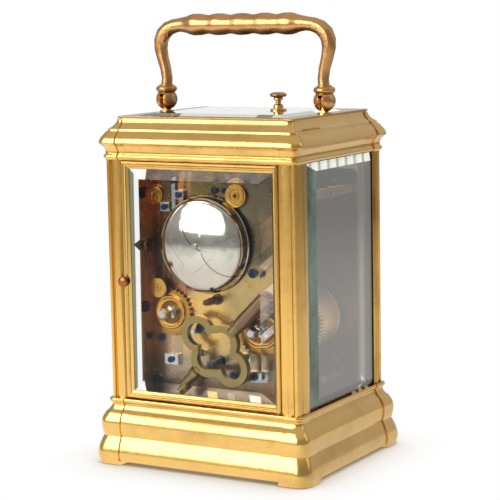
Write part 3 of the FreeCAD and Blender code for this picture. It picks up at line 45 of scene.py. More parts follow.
def srgb(r, g, b):
    """Linear RGBA from 8-bit sRGB."""
    linear = []
    for level in (r, g, b):
        level = level / 255.0
        linear.append(level / 12.92 if level <= 0.04045 else ((level + 0.055) / 1.055) ** 2.4)
    return tuple(linear) + (1.0,)


def grey(level):
    return (level, level, level, 1.0)


class Graph:
    """Small wrapper that makes node trees readable. Any operand may be a number or a socket."""

    def __init__(self, tree):
        self.tree = tree
        self.tree.nodes.clear()

    def add(self, kind, inputs=None, **settings):
        """New node. inputs maps socket names or indices to values or to sockets to link."""
        node = self.tree.nodes.new(kind)
        for key, value in settings.items():
            setattr(node, key, value)
        for key, value in (inputs or {}).items():
            if isinstance(value, bpy.types.NodeSocket):
                self.tree.links.new(value, node.inputs[key])
            else:
                node.inputs[key].default_value = value
        return node

    def math(self, op, a, b=None, clamp=False):
        inputs = {0: a} if b is None else {0: a, 1: b}
        return self.add("ShaderNodeMath", inputs, operation=op, use_clamp=clamp).outputs[0]

    def plus(self, a, b, clamp=False):
        return self.math("ADD", a, b, clamp)

    def minus(self, a, b):
        return self.math("SUBTRACT", a, b)

    def times(self, a, b):
        return self.math("MULTIPLY", a, b)

    def above(self, a, b):
        return self.math("GREATER_THAN", a, b)

    def below(self, a, b):
        return self.math("LESS_THAN", a, b)

    def within(self, value, low, high):
        """1 where value lies between low and high (mm)."""
        return self.times(self.above(value, low * MM), self.below(value, high * MM))

    def length(self, u, v):
        return self.math("SQRT", self.plus(self.times(u, u), self.times(v, v)))

    def distance(self, x, z, centre):
        """Distance in the XZ plane from centre (mm)."""
        return self.length(self.minus(x, centre[0] * MM), self.minus(z, centre[1] * MM))

    def mix(self, factor, a, b):
        return self.add("ShaderNodeMix", {0: factor, 6: a, 7: b}, data_type="RGBA",
                        blend_type="MIX", clamp_factor=True).outputs[2]

    def mix_shader(self, factor, a, b):
        return self.add("ShaderNodeMixShader", {0: factor, 1: a, 2: b}).outputs[0]

    def ramp(self, value, stops):
        """Colour ramp; stops are (position, colour)."""
        node = self.add("ShaderNodeValToRGB", {0: value})
        node.color_ramp.interpolation = "LINEAR"
        elements = node.color_ramp.elements
        while len(elements) > 1:
            elements.remove(elements[-1])
        elements[0].position, elements[0].color = stops[0]
        for position, colour in stops[1:]:
            elements.new(position).color = colour
        return node.outputs[0]

    def fade(self, value, start, end, low=0.0, high=1.0):
        """Smooth change from low to high as value goes from start to end."""
        return self.add("ShaderNodeMapRange", {0: value, 1: start, 2: end, 3: low, 4: high},
                        interpolation_type="SMOOTHSTEP").outputs[0]

    def noise(self, vector, scale, detail, rough, stretch=None):
        if stretch is not None:
            mapping = self.add("ShaderNodeMapping", {"Vector": vector, "Scale": stretch})
            vector = mapping.outputs[0]
        inputs = {"Vector": vector, "Scale": scale, "Detail": detail, "Roughness": rough}
        return self.add("ShaderNodeTexNoise", inputs).outputs["Fac"]

    def dot(self, vector, direction):
        return self.add("ShaderNodeVectorMath", {0: vector, 1: direction},
                        operation="DOT_PRODUCT").outputs["Value"]

    def xyz(self, vector):
        return tuple(self.add("ShaderNodeSeparateXYZ", {"Vector": vector}).outputs)

    def object_coords(self):
        return self.add("ShaderNodeTexCoord").outputs["Object"]

    def geometry(self):
        return self.add("ShaderNodeNewGeometry").outputs

    def light_path(self):
        return self.add("ShaderNodeLightPath").outputs

    def output(self, shader, kind="ShaderNodeOutputMaterial"):
        self.add(kind, {"Surface": shader})


def new_material(name):
    mat = bpy.data.materials.new(name)
    mat.use_nodes = True
    return mat, Graph(mat.node_tree)


# ---- metals -------------------------------------------------------------------

EVEN = (1, 1, 1)
ROUGH_SPREAD = 0.12  # roughness range given by the fine noise


def metal(name, colour, dark, *, rough, tarnish, spots, bump, edge,
          streak=0.0, underside_shade=0.0, crease_shade_and_grime=0.0, coat=0.0, shade=None):
    """Polished metal with softened edges (radius edge, mm).

    tarnish, spots and vertical streaks are strengths of the dark colour. The strength for
    undersides paints shade on faces turned down, and the strength for creases paints shade,
    with some grime, into creases found by ambient occlusion, both in the dark colour.
    shade(g, pos, colour) may repaint the result by place, with painted light and shade on
    some pieces.
    """
    mat, g = new_material(name)
    pos = g.object_coords()
    wide = g.noise(pos, scale=38.0, detail=4.0, rough=0.6, stretch=EVEN)
    fine = g.noise(pos, scale=420.0, detail=3.0, rough=0.6, stretch=EVEN)
    speck = g.noise(pos, scale=900.0, detail=2.0, rough=0.5)
    mottle_and_painted_shade = g.plus(g.times(g.fade(wide, 0.46, 0.74), tarnish),
                  g.times(g.fade(speck, 0.66, 0.74), spots), clamp=True)
    if streak > 0:
        lines = g.noise(pos, scale=300.0, detail=2.0, rough=0.6, stretch=(1.0, 1.0, 0.025))
        mottle_and_painted_shade = g.plus(mottle_and_painted_shade, g.times(g.fade(lines, 0.52, 0.66), streak), clamp=True)
    # Painted shade on faces that turn downwards
    if underside_shade > 0:
        normal_z = g.xyz(g.geometry()["Normal"])[2]
        mottle_and_painted_shade = g.plus(mottle_and_painted_shade, g.times(g.fade(normal_z, -0.35, -0.75), underside_shade), clamp=True)
    # Painted shade, with some grime, in creases found by ambient occlusion
    if crease_shade_and_grime > 0:
        ao = g.add("ShaderNodeAmbientOcclusion", {"Distance": 0.0011}, samples=4)
        mottle_and_painted_shade = g.plus(mottle_and_painted_shade, g.times(g.fade(ao.outputs["AO"], 0.75, 0.35), crease_shade_and_grime), clamp=True)
    base = g.mix(mottle_and_painted_shade, colour, dark)
    if shade is not None:
        base = shade(g, pos, base)
    roughness = g.plus(rough - ROUGH_SPREAD * 0.5, g.times(fine, ROUGH_SPREAD))
    roughness = g.plus(roughness, g.times(mottle_and_painted_shade, 0.25), clamp=True)
    bevel = g.add("ShaderNodeBevel", {"Radius": edge * MM}, samples=4).outputs[0]
    height = g.plus(g.times(fine, 0.6), g.times(wide, 1.8))
    relief = g.add("ShaderNodeBump", {"Strength": bump, "Distance": 0.00018, "Height": height,
                                      "Normal": bevel})
    inputs = {"Metallic": 1.0, "Base Color": base, "Roughness": roughness,
              "Normal": relief.outputs[0]}
    if coat > 0:
        inputs.update({"Coat Weight": coat, "Coat Roughness": 0.09})
    g.output(g.add("ShaderNodeBsdfPrincipled", inputs).outputs[0])
    return mat


def blob(g, pos, x, z, radius_x, radius_z, soft):
    """1 inside an ellipse in the XZ plane (mm), fading to 0 outside it."""
    pos_x, _, pos_z = g.xyz(pos)
    u = g.math("DIVIDE", g.minus(pos_x, x * MM), radius_x * MM)
    v = g.math("DIVIDE", g.minus(pos_z, z * MM), radius_z * MM)
    return g.fade(g.length(u, v), 1.0 + soft, 1.0 - soft)


def plate_painted_light(g, pos, colour):
    """Back plate, light and shade painted by place: a painted copper-brown reflection with
    streaks towards +X, grey-green painted shade high up towards -X, dull along the bottom,
    painted shade along the top and a painted pool of gold light in the middle."""
    x, _, z = g.xyz(pos)
    wobble = g.noise(pos, scale=130.0, detail=3.0, rough=0.6)
    warp = g.times(g.minus(wobble, 0.5), 0.010)
    x = g.plus(x, warp)
    z = g.plus(z, warp)
    # Streaks in the painted copper-brown reflection
    streaks = g.noise(pos, scale=260.0, detail=3.0, rough=0.6, stretch=(1.0, 1.0, 0.05))
    streaks = g.fade(streaks, 0.40, 0.62)
    # Painted pool of gold light in the middle
    light_pool = blob(g, pos, x=5.0, z=62.0, radius_x=8.0, radius_z=16.0, soft=0.6)
    base = g.mix(g.times(light_pool, 0.85), colour, srgb(244, 200, 120))

    # Painted copper-brown reflection towards +X, with a tan edge strip and paler lower down
    copper = g.mix(streaks, srgb(98, 76, 56), srgb(206, 138, 84))
    copper = g.mix(g.fade(x, 31.0 * MM, 33.5 * MM), copper, srgb(204, 162, 112))
    pale = g.mix(streaks, srgb(196, 168, 136), srgb(226, 188, 146))
    copper = g.mix(g.times(g.fade(z, 74.0 * MM, 64.0 * MM), 0.85), copper, pale)
    base = g.mix(g.times(g.fade(x, 11.0 * MM, 15.0 * MM), 0.96), base, copper)

    low = g.fade(z, 49.0 * MM, 42.0 * MM)
    base = g.mix(g.times(low, 0.85), base, srgb(160, 144, 126))
    # Painted shade along the top
    top = g.times(g.fade(z, 102.0 * MM, 108.0 * MM), g.fade(x, 15.0 * MM, 11.0 * MM))
    base = g.mix(g.times(top, 0.85), base, srgb(100, 82, 50))
    # Painted grey-green shade high up towards -X, next to the bell
    beside_bell_shade = g.times(g.fade(z, 79.0 * MM, 87.0 * MM), g.fade(x, 4.0 * MM, -6.0 * MM))
    return g.mix(g.times(beside_bell_shade, 0.88), base, srgb(92, 86, 72))


def ratchet_shade(centre):
    """Dark hub of painted shade in its recess, and a darker rim, about centre (x, z in mm)."""
    def shade(g, pos, colour):
        x, _, z = g.xyz(pos)
        radius = g.distance(x, z, centre)
        # Painted shade in the recessed hub
        hub = g.fade(radius, 5.4 * MM, 4.6 * MM)
        rim = g.fade(radius, 6.6 * MM, 8.0 * MM)
        base = g.mix(g.times(hub, 0.85), colour, srgb(92, 50, 22))
        return g.mix(g.times(rim, 0.5), base, srgb(120, 70, 28))
    return shade


def key_shade(g, pos, colour):
    """Browner far from x = -1.6, z = 48.4 mm along a line that rises towards -X."""
    x, _, z = g.xyz(pos)
    along = g.plus(g.times(g.plus(x, 1.6 * MM), -0.755),
                   g.times(g.minus(z, 48.4 * MM), 0.655))
    return g.mix(g.times(g.fade(along, 13.0 * MM, 16.5 * MM), 0.85), colour, srgb(132, 100, 80))


# ---- glass --------------------------------------------------------------------

CLEAR = (0.985, 0.995, 0.988, 1.0)
BLACK = (0.0, 0.0, 0.0, 1.0)
TILT = 0.05  # a face is a bevel when its normal leans at least this much to one side
FACING = 0.5  # outer faces of a pane have at least this much of the outward axis


def glass(name, level=0.5, tone=1.0, sheen=None):
    """Clear glass. level and tone scale its reflection; sheen(g) gives (tint, glow) per face,
    glow being light it throws to the camera."""
    mat, g = new_material(name)
    pane = g.add("ShaderNodeBsdfPrincipled", {
        "Roughness": 0.0, "IOR": 1.5, "Specular IOR Level": level, "Specular Tint": grey(tone),
        "Base Color": CLEAR, "Transmission Weight": 1.0})
    # Shadow and diffuse rays pass straight through
    clear = g.add("ShaderNodeBsdfTransparent", {0: (0.74, 0.76, 0.75, 1.0)})
    path = g.light_path()
    passing = g.math("MAXIMUM", path["Is Shadow Ray"], path["Is Diffuse Ray"])
    surface = g.mix_shader(passing, pane.outputs[0], clear.outputs[0])
    if sheen is not None:
        tint, glow = sheen(g)
        g.tree.links.new(tint, pane.inputs["Base Color"])
        front = g.minus(1.0, g.geometry()["Backfacing"])
        strength = g.times(front, path["Is Camera Ray"])
        light = g.add("ShaderNodeEmission", {"Color": glow, "Strength": strength})
        surface = g.add("ShaderNodeAddShader", {0: surface, 1: light.outputs[0]}).outputs[0]
    g.output(surface)
    return mat


def side_sheen(g):
    """-X pane, painted reflections: a grey veil on the flat, greenish light in the rear bevel
    and broken blocks along the top bevel; most bevels pass less light.
    """
    geo = g.geometry()
    normal_x, normal_y, normal_z = g.xyz(geo["True Normal"])
    _, y, z = g.xyz(geo["Position"])
    pos = g.object_coords()
    outward = g.below(normal_x, -FACING)
    rear = g.above(normal_y, TILT)
    front = g.below(normal_y, -TILT)
    top = g.above(normal_z, TILT)
    low = g.below(normal_z, -TILT)
    veil = g.mix(g.fade(z, 60 * MM, 100 * MM),
                 (0.125, 0.120, 0.113, 1.0), (0.130, 0.130, 0.124, 1.0))
    wisp = g.noise(pos, scale=90.0, detail=4.0, rough=0.6, stretch=(1.0, 1.0, 0.35))
    green = g.ramp(wisp, [(0.3, (0.05, 0.065, 0.055, 1.0)), (0.55, (0.15, 0.19, 0.155, 1.0)),
                          (0.75, (0.30, 0.35, 0.29, 1.0))])
    # Painted blocks of reflection repeat every 7.8 mm along the bevel
    block = g.math("FRACT", g.math("DIVIDE", g.plus(y, g.times(z, 0.9)), 7.8 * MM))
    pale = (0.66, 0.69, 0.62, 1.0)
    blocks = g.ramp(block, [(0.02, pale), (0.10, (0.30, 0.31, 0.26, 1.0)),
                            (0.30, (0.36, 0.38, 0.32, 1.0)), (0.40, (0.76, 0.79, 0.72, 1.0)),
                            (0.98, pale)])
    glow = g.mix(rear, veil, green)
    glow = g.mix(front, glow, (0.06, 0.055, 0.055, 1.0))
    glow = g.mix(top, glow, blocks)
    glow = g.mix(low, glow, (0.13, 0.12, 0.10, 1.0))
    glow = g.mix(outward, BLACK, glow)
    dim = g.math("MAXIMUM", front, g.math("MAXIMUM", top, rear))
    return g.mix(g.times(outward, dim), CLEAR, (0.16, 0.17, 0.16, 1.0)), glow


# Bars of light in the door bevels: from, to (mm), colour
DOOR_SIDE_BARS = [  # in the -X bevel, along z + 0.9 x
    (34.5, 39.0, (0.10, 0.08, 0.07, 1.0)),
    (30.4, 34.0, (0.40, 0.37, 0.35, 1.0)),
    (38.6, 50.2, (0.25, 0.22, 0.20, 1.0)),
    (58.0, 61.5, (0.22, 0.17, 0.14, 1.0)),
    (66.0, 77.0, (0.11, 0.06, 0.035, 1.0)),
]
DOOR_LOW_BARS = [  # in the bottom bevel, along x
    (-6.0, -1.5, (0.62, 0.42, 0.10, 1.0)),
    (-26.0, -21.0, (0.72, 0.72, 0.68, 1.0)),
    (-14.0, -11.0, (0.20, 0.16, 0.09, 1.0)),
    (8.0, 10.0, (0.16, 0.07, 0.03, 1.0)),
]


def bars(g, value, table):
    colour = (0.012, 0.010, 0.009, 1.0)
    for start, end, tone in table:
        colour = g.mix(g.within(value, start, end), colour, tone)
    return colour


def door_sheen(g):
    """Door pane, painted reflections: white in the +X bevel and its corners, grey in the top bevel,
    broken light in the -X and bottom bevels; the +X, top and bottom bevels pass less light."""
    normal_x, normal_y, normal_z = g.xyz(g.geometry()["True Normal"])
    pos = g.object_coords()
    x, _, z = g.xyz(pos)
    outward = g.above(normal_y, FACING)
    plus_x = g.above(normal_x, TILT)
    minus_x = g.below(normal_x, -TILT)
    top = g.above(normal_z, TILT)
    low = g.below(normal_z, -TILT)
    white = (0.86, 0.87, 0.86, 1.0)
    # Noise that mottles the painted reflections in the bevels
    mottle_and_painted_shade = g.noise(pos, scale=160.0, detail=4.0, rough=0.65)

    top_glow = g.ramp(mottle_and_painted_shade, [(0.32, (0.020, 0.016, 0.013, 1.0)),
                             (0.5, (0.085, 0.072, 0.062, 1.0)), (0.7, (0.17, 0.15, 0.13, 1.0))])
    top_glow = g.mix(g.above(x, 25.2 * MM), top_glow, white)

    minus_x_glow = bars(g, g.plus(z, g.times(x, 0.9)), DOOR_SIDE_BARS)
    minus_x_glow = g.mix(g.times(g.fade(mottle_and_painted_shade, 0.45, 0.6), 0.5), minus_x_glow,
                         (0.05, 0.035, 0.028, 1.0))

    low_glow = bars(g, x, DOOR_LOW_BARS)
    low_glow = g.mix(g.above(z, 33.6 * MM), low_glow, (0.012, 0.011, 0.010, 1.0))
    low_glow = g.mix(g.above(x, 28.0 * MM), low_glow, white)

    # Painted reflection: a white strip that leans slightly, with a dark wedge about z = 91.1 mm,
    # widest towards -X
    wedge_half = g.times(g.minus(32.2 * MM, x), 0.62)
    wedge = g.below(g.math("ABSOLUTE", g.minus(z, 91.1 * MM)), wedge_half)
    lean = g.plus(x, g.times(g.minus(76 * MM, z), -0.009))
    plus_x_glow = g.mix(g.above(lean, 31.5 * MM), white, (0.20, 0.22, 0.15, 1.0))
    plus_x_glow = g.mix(g.below(lean, 28.7 * MM), plus_x_glow, (0.06, 0.055, 0.045, 1.0))
    plus_x_glow = g.mix(wedge, plus_x_glow, (0.045, 0.030, 0.020, 1.0))

    glow = g.mix(top, BLACK, top_glow)
    glow = g.mix(low, glow, low_glow)
    glow = g.mix(minus_x, glow, minus_x_glow)
    glow = g.mix(plus_x, glow, plus_x_glow)
    glow = g.mix(outward, BLACK, glow)
    dim = g.math("MAXIMUM", plus_x, g.times(g.math("MAXIMUM", top, low), 0.55))
    return g.mix(g.times(outward, dim), CLEAR, (0.12, 0.11, 0.10, 1.0)), glow


def roof_sheen(g):
    """Pale broken light along the bevels of the top pane."""
    geo = g.geometry()
    normal_x, normal_y, normal_z = g.xyz(geo["True Normal"])
    x = g.xyz(geo["Position"])[0]
    upward = g.above(normal_z, 0.4)
    rear = g.above(normal_y, TILT)
    minus_x = g.below(normal_x, -TILT)
    leaning = g.above(g.plus(g.math("ABSOLUTE", normal_x), g.math("ABSOLUTE", normal_y)), TILT)
    pale, dull = (0.60, 0.64, 0.54, 1.0), (0.17, 0.19, 0.15, 1.0)
    run = g.mix(g.above(x, 15.7 * MM), pale, dull)
    run = g.mix(g.below(x, -19.8 * MM), run, dull)
    run = g.mix(g.below(x, -26.9 * MM), run, pale)
    glow = g.mix(rear, (0.20, 0.21, 0.19, 1.0), run)
    glow = g.mix(minus_x, glow, (0.42, 0.45, 0.38, 1.0))
    bevel = g.times(upward, leaning)
    glow = g.mix(bevel, BLACK, glow)
    return g.mix(g.times(bevel, 0.7), CLEAR, (0.3, 0.31, 0.28, 1.0)), glow


# ---- enamel and bell ----------------------------------------------------------


def enamel(name, colour, rough=0.18):
    mat, g = new_material(name)
    shader = g.add("ShaderNodeBsdfPrincipled", {
        "Roughness": rough, "Base Color": colour, "Coat Weight": 0.5, "Coat Roughness": 0.04})
    g.output(shader.outputs[0])
    return mat


def circle_centre(start, end, radius):
    """Centre of a circle of the given radius through start and end."""
    mid_x, mid_z = (start[0] + end[0]) / 2, (start[1] + end[1]) / 2
    dx, dz = end[0] - start[0], end[1] - start[1]
    chord = math.hypot(dx, dz)
    offset = math.sqrt(radius * radius - chord * chord / 4) / chord
    return (mid_x - dz * offset, mid_z + dx * offset)


# Hairline marks on the bell, in mm in the XZ plane:
# centre, radius, half width, (x0, x1, z0, z1) limits, colour, strength.
# The long dark one runs in two arcs; the pale ones are shallow arcs between two points.
DARK_LINE, PALE_LINE = srgb(70, 62, 56), srgb(168, 160, 152)
PALE_RADIUS = 70.0
SCRATCHES = [
    ((-3.7, 104.2), 15.5, 0.26, (1.8, 12.0, 88.0, 105.0), DARK_LINE, 0.95),
    ((-11.1, 92.6), 13.2, 0.24, (-12.0, 1.9, 79.0, 89.0), DARK_LINE, 0.95),
]
for start, end in (((0.8, 98.3), (8.2, 108.7)), ((10.0, 83.2), (20.5, 96.4)),
                   ((-14.3, 97.7), (-1.9, 92.1)), ((-2.2, 86.5), (7.2, 79.6))):
    limits = (start[0], end[0], min(start[1], end[1]), max(start[1], end[1]))
    SCRATCHES.append((circle_centre(start, end, PALE_RADIUS), PALE_RADIUS, 0.2, limits,
                      PALE_LINE, 0.6))


def arc(g, x, z, centre, radius, half_width, limits):
    """1 on the part of a circle in the XZ plane (mm) that lies inside limits."""
    off_line = g.math("ABSOLUTE", g.minus(g.distance(x, z, centre), radius * MM))
    line = g.fade(off_line, half_width * MM, half_width * 0.4 * MM)
    inside = g.times(g.within(x, *limits[:2]), g.within(z, *limits[2:]))
    return g.times(line, inside)


def bell_metal():
    """Silvery bell: specks, a blotchy band of painted dark reflection, a warmer painted reflection
    on the lower part and hairline scratches.
    """
    mat, g = new_material("bell_silver")
    pos = g.object_coords()
    wide = g.noise(pos, scale=60.0, detail=4.0, rough=0.6)
    speck = g.noise(pos, scale=700.0, detail=3.0, rough=0.6)
    brushed = g.noise(pos, scale=900.0, detail=2.0, rough=0.5, stretch=(1.0, 0.06, 0.12))
    mark = g.plus(g.times(g.fade(wide, 0.5, 0.8), 0.35),
                  g.times(g.fade(speck, 0.66, 0.72), 0.5), clamp=True)
    colour = g.mix(mark, srgb(222, 219, 208), srgb(120, 112, 100))
    x, _, z = g.xyz(pos)
    # Band of painted dark reflection across the middle, broken up by noise
    reflection_blotch = g.noise(pos, scale=55.0, detail=5.0, rough=0.65, stretch=(1.0, 1.0, 1.6))
    band = g.times(g.fade(z, 101 * MM, 96 * MM), g.fade(z, 84 * MM, 90 * MM))
    reflection_blotch = g.times(g.fade(reflection_blotch, 0.42, 0.58), band)
    colour = g.mix(g.times(reflection_blotch, 0.28), colour, srgb(112, 110, 100))
    # Warmer painted reflection on the lower part
    colour = g.mix(g.times(g.fade(z, 88 * MM, 80 * MM), 0.5), colour, srgb(206, 190, 178))
    for centre, radius, half_width, limits, tone, strength in SCRATCHES:
        line = arc(g, x, z, centre, radius, half_width, limits)
        colour = g.mix(g.times(line, strength), colour, tone)
    roughness = g.plus(0.09, g.times(g.fade(brushed, 0.6, 0.7), 0.12))
    relief = g.add("ShaderNodeBump", {"Strength": 0.12, "Distance": 0.0002, "Height": wide})
    shader = g.add("ShaderNodeBsdfPrincipled", {
        "Metallic": 1.0, "Base Color": colour, "Roughness": roughness,
        "Normal": relief.outputs[0]})
    g.output(shader.outputs[0])
    return mat


# ---- materials ----------------------------------------------------------------

GILT = srgb(247, 199, 108)
RATCHET = dict(colour=srgb(226, 176, 88), dark=srgb(140, 90, 34), rough=0.2, tarnish=0.3,
               spots=0.12, bump=0.05, edge=0.08)
mats = {
    "gilt": metal("gilt_brass", GILT, srgb(150, 98, 34), rough=0.20, tarnish=0.30, spots=0.32,
                  bump=0.16, edge=0.22, crease_shade_and_grime=0.7, coat=0.9),
    "gilt_pillar": metal("gilt_brass_pillar", GILT, srgb(128, 82, 32), rough=0.20, tarnish=0.3,
                         spots=0.2, streak=0.6, bump=0.14, edge=0.22, crease_shade_and_grime=0.7, coat=0.35),
    # Handle brass, with painted shade on its undersides
    "handle": metal("handle_brass", srgb(224, 170, 106), srgb(112, 70, 38), rough=0.25,
                    tarnish=0.42, spots=0.35, bump=0.08, edge=0.3, underside_shade=0.85, coat=0.35),
    "knob": metal("knob_brass", srgb(170, 110, 66), srgb(84, 50, 28), rough=0.3,
                  tarnish=0.6, spots=0.3, bump=0.2, edge=0.2),
    # Front plate and movement brass, its colour painted darker and duller as shade inside the case
    "plate": metal("plate_brass", srgb(126, 102, 68), srgb(70, 48, 30), rough=0.3,
                   tarnish=0.5, spots=0.08, bump=0.04, edge=0.1),
    "back": metal("plate_brass_rear", srgb(200, 172, 116), srgb(128, 100, 60), rough=0.25,
                  tarnish=0.5, spots=0.2, bump=0.1, edge=0.1, shade=plate_painted_light),
    "tray": metal("plate_brass_dull", srgb(146, 124, 98), srgb(74, 60, 46), rough=0.35,
                  tarnish=0.7, spots=0.3, bump=0.12, edge=0.1),
    "wheel": metal("wheel_brass", srgb(214, 168, 84), srgb(150, 96, 36), rough=0.2,
                   tarnish=0.3, spots=0.12, bump=0.05, edge=0.08, crease_shade_and_grime=0.7),
    "key": metal("key_brass", srgb(152, 134, 84), srgb(104, 74, 40), rough=0.33, tarnish=0.4,
                 spots=0.4, bump=0.25, edge=0.2, crease_shade_and_grime=0.5, shade=key_shade),
    "steel": metal("bright_steel", srgb(196, 200, 204), srgb(120, 120, 124), rough=0.18,
                   tarnish=0.15, spots=0.15, bump=0.05, edge=0.1),
    "blue": metal("blued_steel", srgb(58, 70, 94), srgb(20, 22, 30), rough=0.2,
                  tarnish=0.4, spots=0.1, bump=0.05, edge=0.08),
    "dark": metal("dark_steel", srgb(104, 78, 58), srgb(40, 30, 24), rough=0.26,
                  tarnish=0.6, spots=0.2, bump=0.1, edge=0.1),
    "glass": glass("clear_glass"),
    "door_pane": glass("clear_glass_door", level=0.12, tone=0.22, sheen=door_sheen),
    "side_pane": glass("clear_glass_side", level=0.3, sheen=side_sheen),
    "roof_pane": glass("clear_glass_top", sheen=roof_sheen),
    "barrel": metal("wheel_brass_barrel", srgb(240, 204, 136), srgb(170, 124, 66), rough=0.42,
                    tarnish=0.2, spots=0.1, bump=0.04, edge=0.08),
    "ratchet_a": metal("wheel_brass_a", shade=ratchet_shade((-19.0, 57.3)), **RATCHET),
    "ratchet_b": metal("wheel_brass_b", shade=ratchet_shade((22.0, 62.3)), **RATCHET),
    "enamel": enamel("white_enamel", srgb(246, 244, 236)),
    "ink": enamel("black_enamel", srgb(18, 17, 18), rough=0.3),
    "bell": bell_metal(),
}

# Finish, slot name, edge split angle in degrees (0 for flat shading), pieces
FINISHES = [
    ("gilt", "gilt_brass", 26,
     "base_moulding cornice_moulding door_frame handle_posts repeat_bush"),
    ("gilt_pillar", "gilt_brass", 26,
     "pillar_rear_left pillar_rear_right pillar_front_left pillar_front_right"),
    ("handle", "handle_brass", 60, "carry_handle repeat_button"),
    ("knob", "handle_brass", 26, "door_knob"),
    ("plate", "plate_brass", 26, "front_plate movement_pillars platform_plate platform_cocks"),
    ("back", "plate_brass", 26, "back_plate"),
    ("tray", "plate_brass", 26, "base_plate"),
    ("wheel", "wheel_brass", 26,
     "back_plate_cocks intermediate_wheel centre_wheel third_wheel contrate_wheel escape_wheel "
     "balance_wheel strike_second_wheel strike_third_wheel strike_fly cannon_pinion "
     "minute_wheel hour_wheel"),
    ("key", "key_brass", 26, "winding_key"),
    ("steel", "bright_steel", 26,
     "pivot_pins repeat_lever back_plate_steelwork going_winding_arbor going_click "
     "pallet_lever strike_winding_arbor strike_click"),
    ("blue", "blued_steel", 26,
     "screws going_mainspring hairspring strike_mainspring minute_hand hour_hand alarm_arbor"),
    ("dark", "dark_steel", 26, "hammer hand_setting_arbor"),
    ("glass", "clear_glass", 0, "front_glass left_glass"),
    ("roof_pane", "clear_glass", 0, "top_glass"),
    ("barrel", "wheel_brass", 26, "going_barrel strike_barrel"),
    ("door_pane", "clear_glass", 0, "door_glass"),
    ("side_pane", "clear_glass", 0, "right_glass"),
    ("ratchet_a", "wheel_brass", 26, "going_ratchet"),
    ("ratchet_b", "wheel_brass", 26, "strike_ratchet"),
    ("enamel", "white_enamel", 26, "dial"),
    ("bell", "bell_silver", 40, "bell"),
]


def dress(piece, mat, split_angle):
    """Give a CAD piece its material and clean shading."""
    mesh = piece.data
    mesh.materials.clear()
    mesh.materials.append(mat)
    if "custom_normal" in mesh.attributes:
        mesh.attributes.remove(mesh.attributes["custom_normal"])
    piece.modifiers.new("weld", "WELD").merge_threshold = 2e-6
    for poly in mesh.polygons:
        poly.use_smooth = split_angle > 0
    if split_angle:
        piece.modifiers.new("edges", "EDGE_SPLIT").split_angle = math.radians(split_angle)


for finish, slot, split_angle, pieces in FINISHES:
    for piece_name in pieces.split():
        dress(nodes[piece_name], mats[finish], split_angle)


# ---- dial markings ------------------------------------------------------------

# All in mm. A viewer in front of the dial looks along +Y, so +X is on their right.
DIAL_Y = -30.6
MARK_LIFT = 0.02
HOURS = ["XII", "I", "II", "III", "IIII", "V", "VI", "VII", "VIII", "IX", "X", "XI"]


def quad_mesh(name, quads):
    """Flat marks just in front of the dial. Each quad is four (x, z) points."""
    verts, faces = [], []
    for quad in quads:
        first = len(verts)
        verts += [(x * MM, (DIAL_Y - MARK_LIFT) * MM, z * MM) for x, z in quad]
        faces.append(tuple(range(first, first + len(quad))))
    mesh = bpy.data.meshes.new(name)
    mesh.from_pydata(verts, [], faces)
    mesh.materials.append(mats["ink"])
    marks = bpy.data.objects.new(name, mesh)
    scene.collection.objects.link(marks)
    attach(marks, "root")


def numeral(text, height):
    """Strokes of a Roman numeral, centred, as quads in (u, v) with v upwards."""
    thick, thin, serif = height * 0.17, height * 0.055, height * 0.05
    advance = {"I": height * 0.30, "V": height * 0.66, "X": height * 0.66}
    top, bottom = height / 2, -height / 2

    def box(u0, u1, v0, v1):
        return [(u0, v0), (u1, v0), (u1, v1), (u0, v1)]

    def stroke(top_left, top_width, bottom_left, bottom_right):
        return [(top_left, top), (top_left + top_width, top),
                (bottom_right, bottom), (bottom_left, bottom)]

    width = sum(advance[letter] for letter in text)
    quads = []
    left = -width / 2
    for letter in text:
        right = left + advance[letter]
        mid = (left + right) / 2
        thin_top = right - 0.08 * height - thin
        if letter == "I":
            quads.append(box(mid - thick / 2, mid + thick / 2, bottom, top))
        elif letter == "V":
            quads.append(stroke(left + 0.04 * height, thick,
                                mid - thick * 0.35, mid + thick * 0.45))
            quads.append(stroke(thin_top, thin, mid + thick * 0.1, mid + thick * 0.4))
        else:
            foot_right = right - 0.05 * height
            quads.append(stroke(left + 0.05 * height, thick, foot_right - thick, foot_right))
            foot_left = left + 0.08 * height
            quads.append(stroke(thin_top, thin, foot_left, foot_left + thin))
        left = right
    serif_end = width / 2 - 0.01 * height
    quads.append(box(-serif_end, serif_end, bottom, bottom + serif))
    quads.append(box(-serif_end, serif_end, top - serif, top))
    return quads


def ring(centre, inner, outer, segments):
    def point(radius, angle):
        return (centre[0] + radius * math.sin(angle), centre[1] + radius * math.cos(angle))

    quads = []
    for k in range(segments):
        a, b = 2 * math.pi * k / segments, 2 * math.pi * (k + 1) / segments
        quads.append([point(inner, a), point(outer, a), point(outer, b), point(inner, b)])
    return quads


def tick(centre, angle, inner, outer, half_width):
    s, c = math.sin(angle), math.cos(angle)
    return [(centre[0] + radius * s + side * c, centre[1] + radius * c - side * s)
            for radius, side in ((inner, -half_width), (outer, -half_width),
                                 (outer, half_width), (inner, half_width))]


def chapter(name, centre, outer_ring, inner_ring, segments, ticks, tick_start,
            hour_tick, plain_tick, numeral_radius, numeral_height):
    """Two rings, radial ticks (half widths hour_tick and plain_tick) and twelve numerals."""
    quads = ring(centre, *outer_ring, segments) + ring(centre, *inner_ring, segments)
    for k in range(ticks):
        half_width = plain_tick if k % (ticks // 12) else hour_tick
        quads.append(tick(centre, 2 * math.pi * k / ticks, tick_start, outer_ring[0], half_width))
    for k, text in enumerate(HOURS):
        angle = 2 * math.pi * k / 12
        s, c = math.sin(angle), math.cos(angle)
        for strokes in numeral(text, numeral_height):
            quads.append([(centre[0] + numeral_radius * s + u * c + v * s,
                           centre[1] + numeral_radius * c - u * s + v * c) for u, v in strokes])
    quad_mesh(name, quads)


